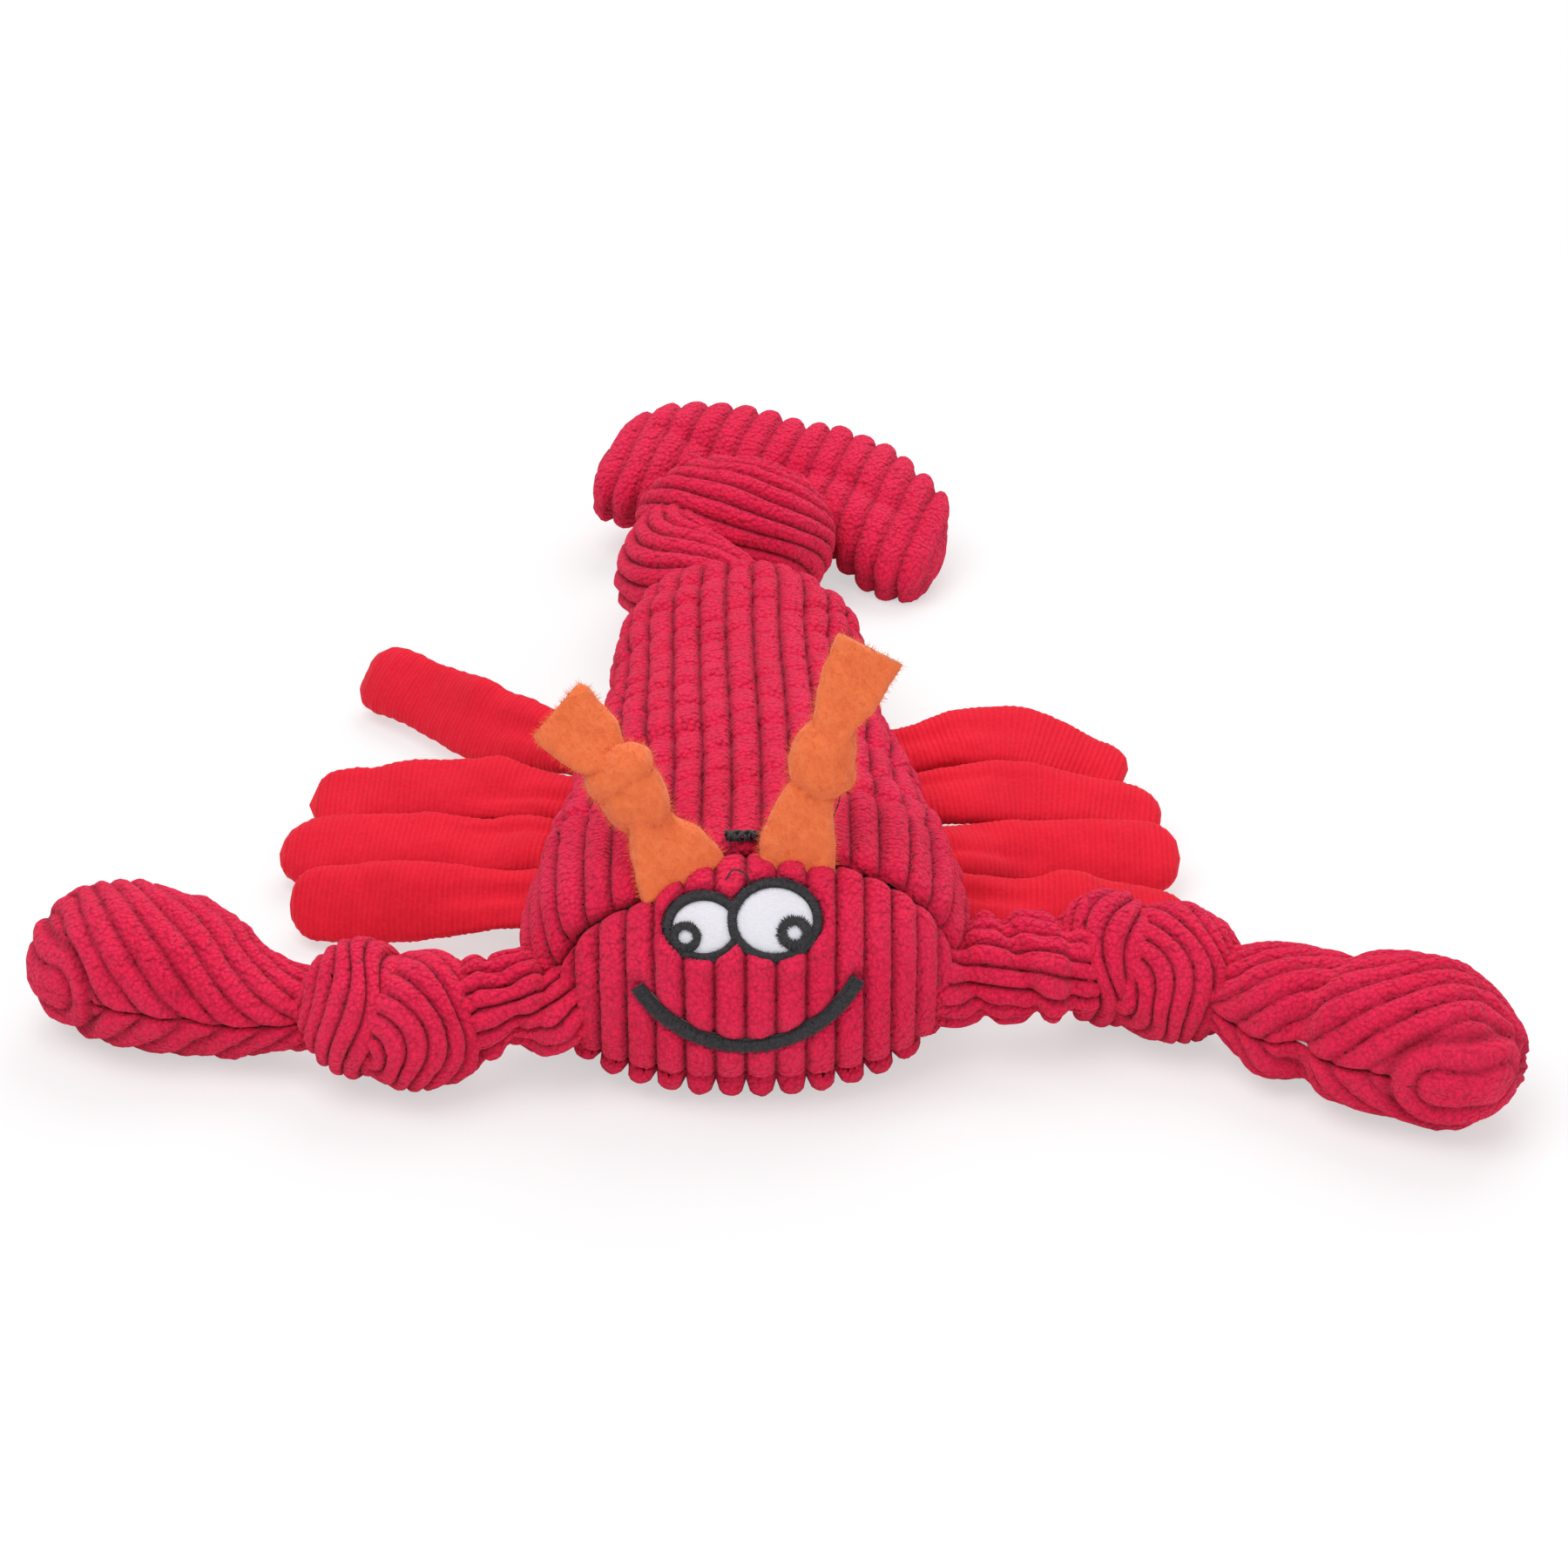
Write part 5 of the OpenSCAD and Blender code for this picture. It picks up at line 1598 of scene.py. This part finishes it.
def closing_thread(surface):
    low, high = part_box("closing_thread")
    middle = (np.array(low) + np.array(high)) / 2 / MM
    shape = Shape()
    turns = []
    for k in range(26):
        a = k * 1.15
        turns.append(middle + [4.2 * math.sin(a * 0.37) , 1.2 * math.cos(a), 0.6 + 1.2 * math.sin(a)])
    thin_thread(shape, turns, 0.55)
    for k in range(3):
        turns = [middle + [(k - 1) * 2.6 + 1.1 * math.cos(b), -0.4 + 0.9 * math.sin(b * 1.7),
                           0.4 + 1.1 * math.sin(b)] for b in np.linspace(0, 9, 14)]
        thin_thread(shape, turns, 0.5)
    a, _ = surface.at(-6.0, -1.5, 1.6)
    b, _ = surface.at(-3.5, 1.6, 3.2)
    c, _ = surface.at(-0.5, 1.3, 3.2)
    d, _ = surface.at(1.5, -0.5, 1.6)
    thin_thread(shape, [a, b, c, d], 0.22)
    thin_thread(shape, [middle + [18.5, 3, -1], middle + [23, 4, 2.5], middle + [25.5, 6, 8],
                        middle + [26, 8, 13]], 0.2)
    obj = shape.build("closing_thread_ends", black_thread())
    weld(obj, 1e-7)
    return dress(obj, "trunk", ["closing_thread"])


# ---------------------------------------------------------------- inner pieces and stage


def body_fill():
    """The stuffing of the body, a little smaller than its cloth."""
    ys = np.concatenate([CHIN_Y + 7 + 25 * (1 - np.cos(np.linspace(0.15, math.pi / 2, 14))),
                         np.linspace(FACE_SEAM_Y + 3, TAIL_Y - RUMP_LEN, 60),
                         TAIL_Y - 5 - (RUMP_LEN - 5) * (1 - np.sin(np.linspace(0.1, 1.4, 12)))])
    grid = []
    for y in ys:
        x, z = ring(y)
        x, z = x[:-1][::8], z[:-1][::8]
        top, low = z.max(), z.min()
        middle = (top + low) / 2
        shrink = max(0.2, 1 - 5.5 / max(x.max(), 7)), max(0.2, 1 - 5.5 / max((top - low) / 2, 7))
        grid.append(np.stack([x * shrink[0] + shift_x(y), np.full(len(x), y),
                              middle + (z - middle) * shrink[1]], 1))
    grid = np.array(grid)
    normal = grid_normals(grid, wrap_cols=True, away=grid.mean(1, keepdims=True))
    shape = Shape()
    shape.add(grid, tube_faces(grid, normal))
    obj = shape.build("body_filling", filling())
    return dress(obj, "trunk", ["body_stuffing"])


def inner_pieces():
    body_fill()
    for side in SIDES:
        claw_fill(side)
    fan_fill()
    for name, node in frame["nodes"].items():
        if "squeaker" in name:
            node.data.materials.clear()
            node.data.materials.append(squeaker_plastic())


# The floor in metres: half its side, where it starts and ends to fade, and how white it is there
FLOOR_HALF = 6.0
FLOOR_FADE = (0.30, 0.75)
FLOOR_WHITE = (0.55, 1.0)


def stage():
    scene = bpy.context.scene
    camera = bpy.data.cameras.new("camera")
    camera.lens, camera.sensor_width = 92.6, 36.0
    view = bpy.data.objects.new("camera", camera)
    target = Vector((0.010, 0.0, 0.030))
    reach, high = 1.15, math.radians(30)
    view.location = target + Vector((0, -reach * math.cos(high), reach * math.sin(high)))
    view.rotation_euler = (target - view.location).to_track_quat("-Z", "Y").to_euler()
    scene.collection.objects.link(view)
    scene.camera = view
    for name, place, size, energy, tint in (
            ("key_lamp", (-0.5, -0.35, 1.5), 1.3, 15.0, (1, 1, 1)),
            ("back_lamp", (0.35, 1.0, 1.25), 1.2, 12.0, (1, 0.99, 0.98)),
            ("fill_lamp", (0.8, -1.1, 0.55), 1.2, 5.0, (1, 1, 1))):
        lamp = bpy.data.lights.new(name, "AREA")
        lamp.size, lamp.energy, lamp.color = size, energy, tint
        obj = bpy.data.objects.new(name, lamp)
        obj.location = place
        obj.rotation_euler = (Vector((0, 0, 0.02)) - Vector(place)).to_track_quat("-Z", "Y").to_euler()
        scene.collection.objects.link(obj)
    world = bpy.data.worlds.new("studio")
    scene.world = world
    world.use_nodes = True
    w = NodeWriter(world.node_tree)
    ray = w.node("ShaderNodeLightPath", output="Is Camera Ray")
    soft = w.node("ShaderNodeBackground", None, (0.95, 0.97, 1, 1), 0.42)
    white = w.node("ShaderNodeBackground", None, (1, 1, 1, 1), 1.0)
    w.node("ShaderNodeOutputWorld", None, w.node("ShaderNodeMixShader", None, ray, soft, white))
    mesh = bpy.data.meshes.new("floor")
    s = FLOOR_HALF
    mesh.from_pydata([(-s, -s, 0), (s, -s, 0), (s, s, 0), (-s, s, 0)], [], [(0, 1, 2, 3)])
    floor = bpy.data.objects.new("floor", mesh)
    scene.collection.objects.link(floor)
    r = Recipe("pale_floor")
    ray = r.node("ShaderNodeLightPath", output="Is Camera Ray")
    # the floor fades to plain white away from the piece
    far = r.node("ShaderNodeVectorMath", {"operation": "LENGTH"}, r.place(), output="Value")
    share = ray * r.node("ShaderNodeMapRange", None, far, *FLOOR_FADE, *FLOOR_WHITE)
    matt = r.node("ShaderNodeBsdfDiffuse", None, (0.9, 0.9, 0.9, 1))
    glow = r.node("ShaderNodeEmission", None, (1, 1, 1, 1), 1.0)
    r.node("ShaderNodeOutputMaterial", None, r.node("ShaderNodeMixShader", None, share, matt, glow))
    mesh.materials.append(r.material)
    scene.view_settings.view_transform = "Standard"


# ---------------------------------------------------------------- operators


class LOBSTER_OT_body(bpy.types.Operator):
    """Make the back and the belly cloth"""
    bl_idname = "lobster.body"
    bl_label = "Body"

    def execute(self, context):
        back_panel()
        belly_panel()
        return {"FINISHED"}


class LOBSTER_OT_face(bpy.types.Operator):
    """Make the face with its sewn eyes, smile and closing thread"""
    bl_idname = "lobster.face"
    bl_label = "Face"

    def execute(self, context):
        face_panel()
        surface = FaceSurface()
        for side in SIDES:
            eye_white(side, surface)
            eye_stitching(side, surface)
        smile(surface)
        closing_thread(surface)
        return {"FINISHED"}


class LOBSTER_OT_antennae(bpy.types.Operator):
    """Make the two knotted fleece antennae"""
    bl_idname = "lobster.antennae"
    bl_label = "Antennae"

    def execute(self, context):
        for side in SIDES:
            antenna(side)
        return {"FINISHED"}


class LOBSTER_OT_arms(bpy.types.Operator):
    """Make both arms: sleeve, knot and the two halves of the claw"""
    bl_idname = "lobster.arms"
    bl_label = "Arms"

    def execute(self, context):
        for side in SIDES:
            sleeve(side)
            arm_knot(side)
            claw_half(side, True)
            claw_half(side, False)
        return {"FINISHED"}


class LOBSTER_OT_legs(bpy.types.Operator):
    """Make the eight velour legs"""
    bl_idname = "lobster.legs"
    bl_label = "Legs"

    def execute(self, context):
        for side in SIDES:
            for index in range(4):
                leg(side, index)
        return {"FINISHED"}


class LOBSTER_OT_tail(bpy.types.Operator):
    """Make the tail: sleeve, knot and fan"""
    bl_idname = "lobster.tail"
    bl_label = "Tail"

    def execute(self, context):
        tail_sleeve()
        tail_knot()
        fan_half(True)
        fan_half(False)
        return {"FINISHED"}


class LOBSTER_OT_inside(bpy.types.Operator):
    """Give the stuffing and the squeakers their finishes"""
    bl_idname = "lobster.inside"
    bl_label = "Inside"

    def execute(self, context):
        inner_pieces()
        return {"FINISHED"}


class LOBSTER_OT_stage(bpy.types.Operator):
    """Set up the camera, the lamps and the floor"""
    bl_idname = "lobster.stage"
    bl_label = "Stage"

    def execute(self, context):
        stage()
        return {"FINISHED"}


class LOBSTER_PT_panel(bpy.types.Panel):
    """Sizes, colours and the pieces in the order they are made"""
    bl_label = "Plush Lobster"
    bl_idname = "LOBSTER_PT_panel"
    bl_space_type = "VIEW_3D"
    bl_region_type = "UI"
    bl_category = "Plush"

    def draw(self, context):
        for settings in (context.scene.lobster_fabric, context.scene.lobster_face):
            for name in settings.__annotations__:
                self.layout.prop(settings, name)
        for operator in OPERATORS:
            self.layout.operator(operator.bl_idname)


OPERATORS = (LOBSTER_OT_stage, LOBSTER_OT_body, LOBSTER_OT_face, LOBSTER_OT_antennae, LOBSTER_OT_arms,
             LOBSTER_OT_legs, LOBSTER_OT_tail, LOBSTER_OT_inside)
CLASSES = (FabricSettings, FaceSettings, *OPERATORS, LOBSTER_PT_panel)


def register():
    for cls in CLASSES:
        bpy.utils.register_class(cls)
    bpy.types.Scene.lobster_fabric = PointerProperty(type=FabricSettings)
    bpy.types.Scene.lobster_face = PointerProperty(type=FaceSettings)


def unregister():
    del bpy.types.Scene.lobster_face
    del bpy.types.Scene.lobster_fabric
    for cls in reversed(CLASSES):
        bpy.utils.unregister_class(cls)


def main():
    register()
    for operator in OPERATORS:
        group, name = operator.bl_idname.split(".")
        getattr(getattr(bpy.ops, group), name)()


if __name__ == "__main__":
    main()
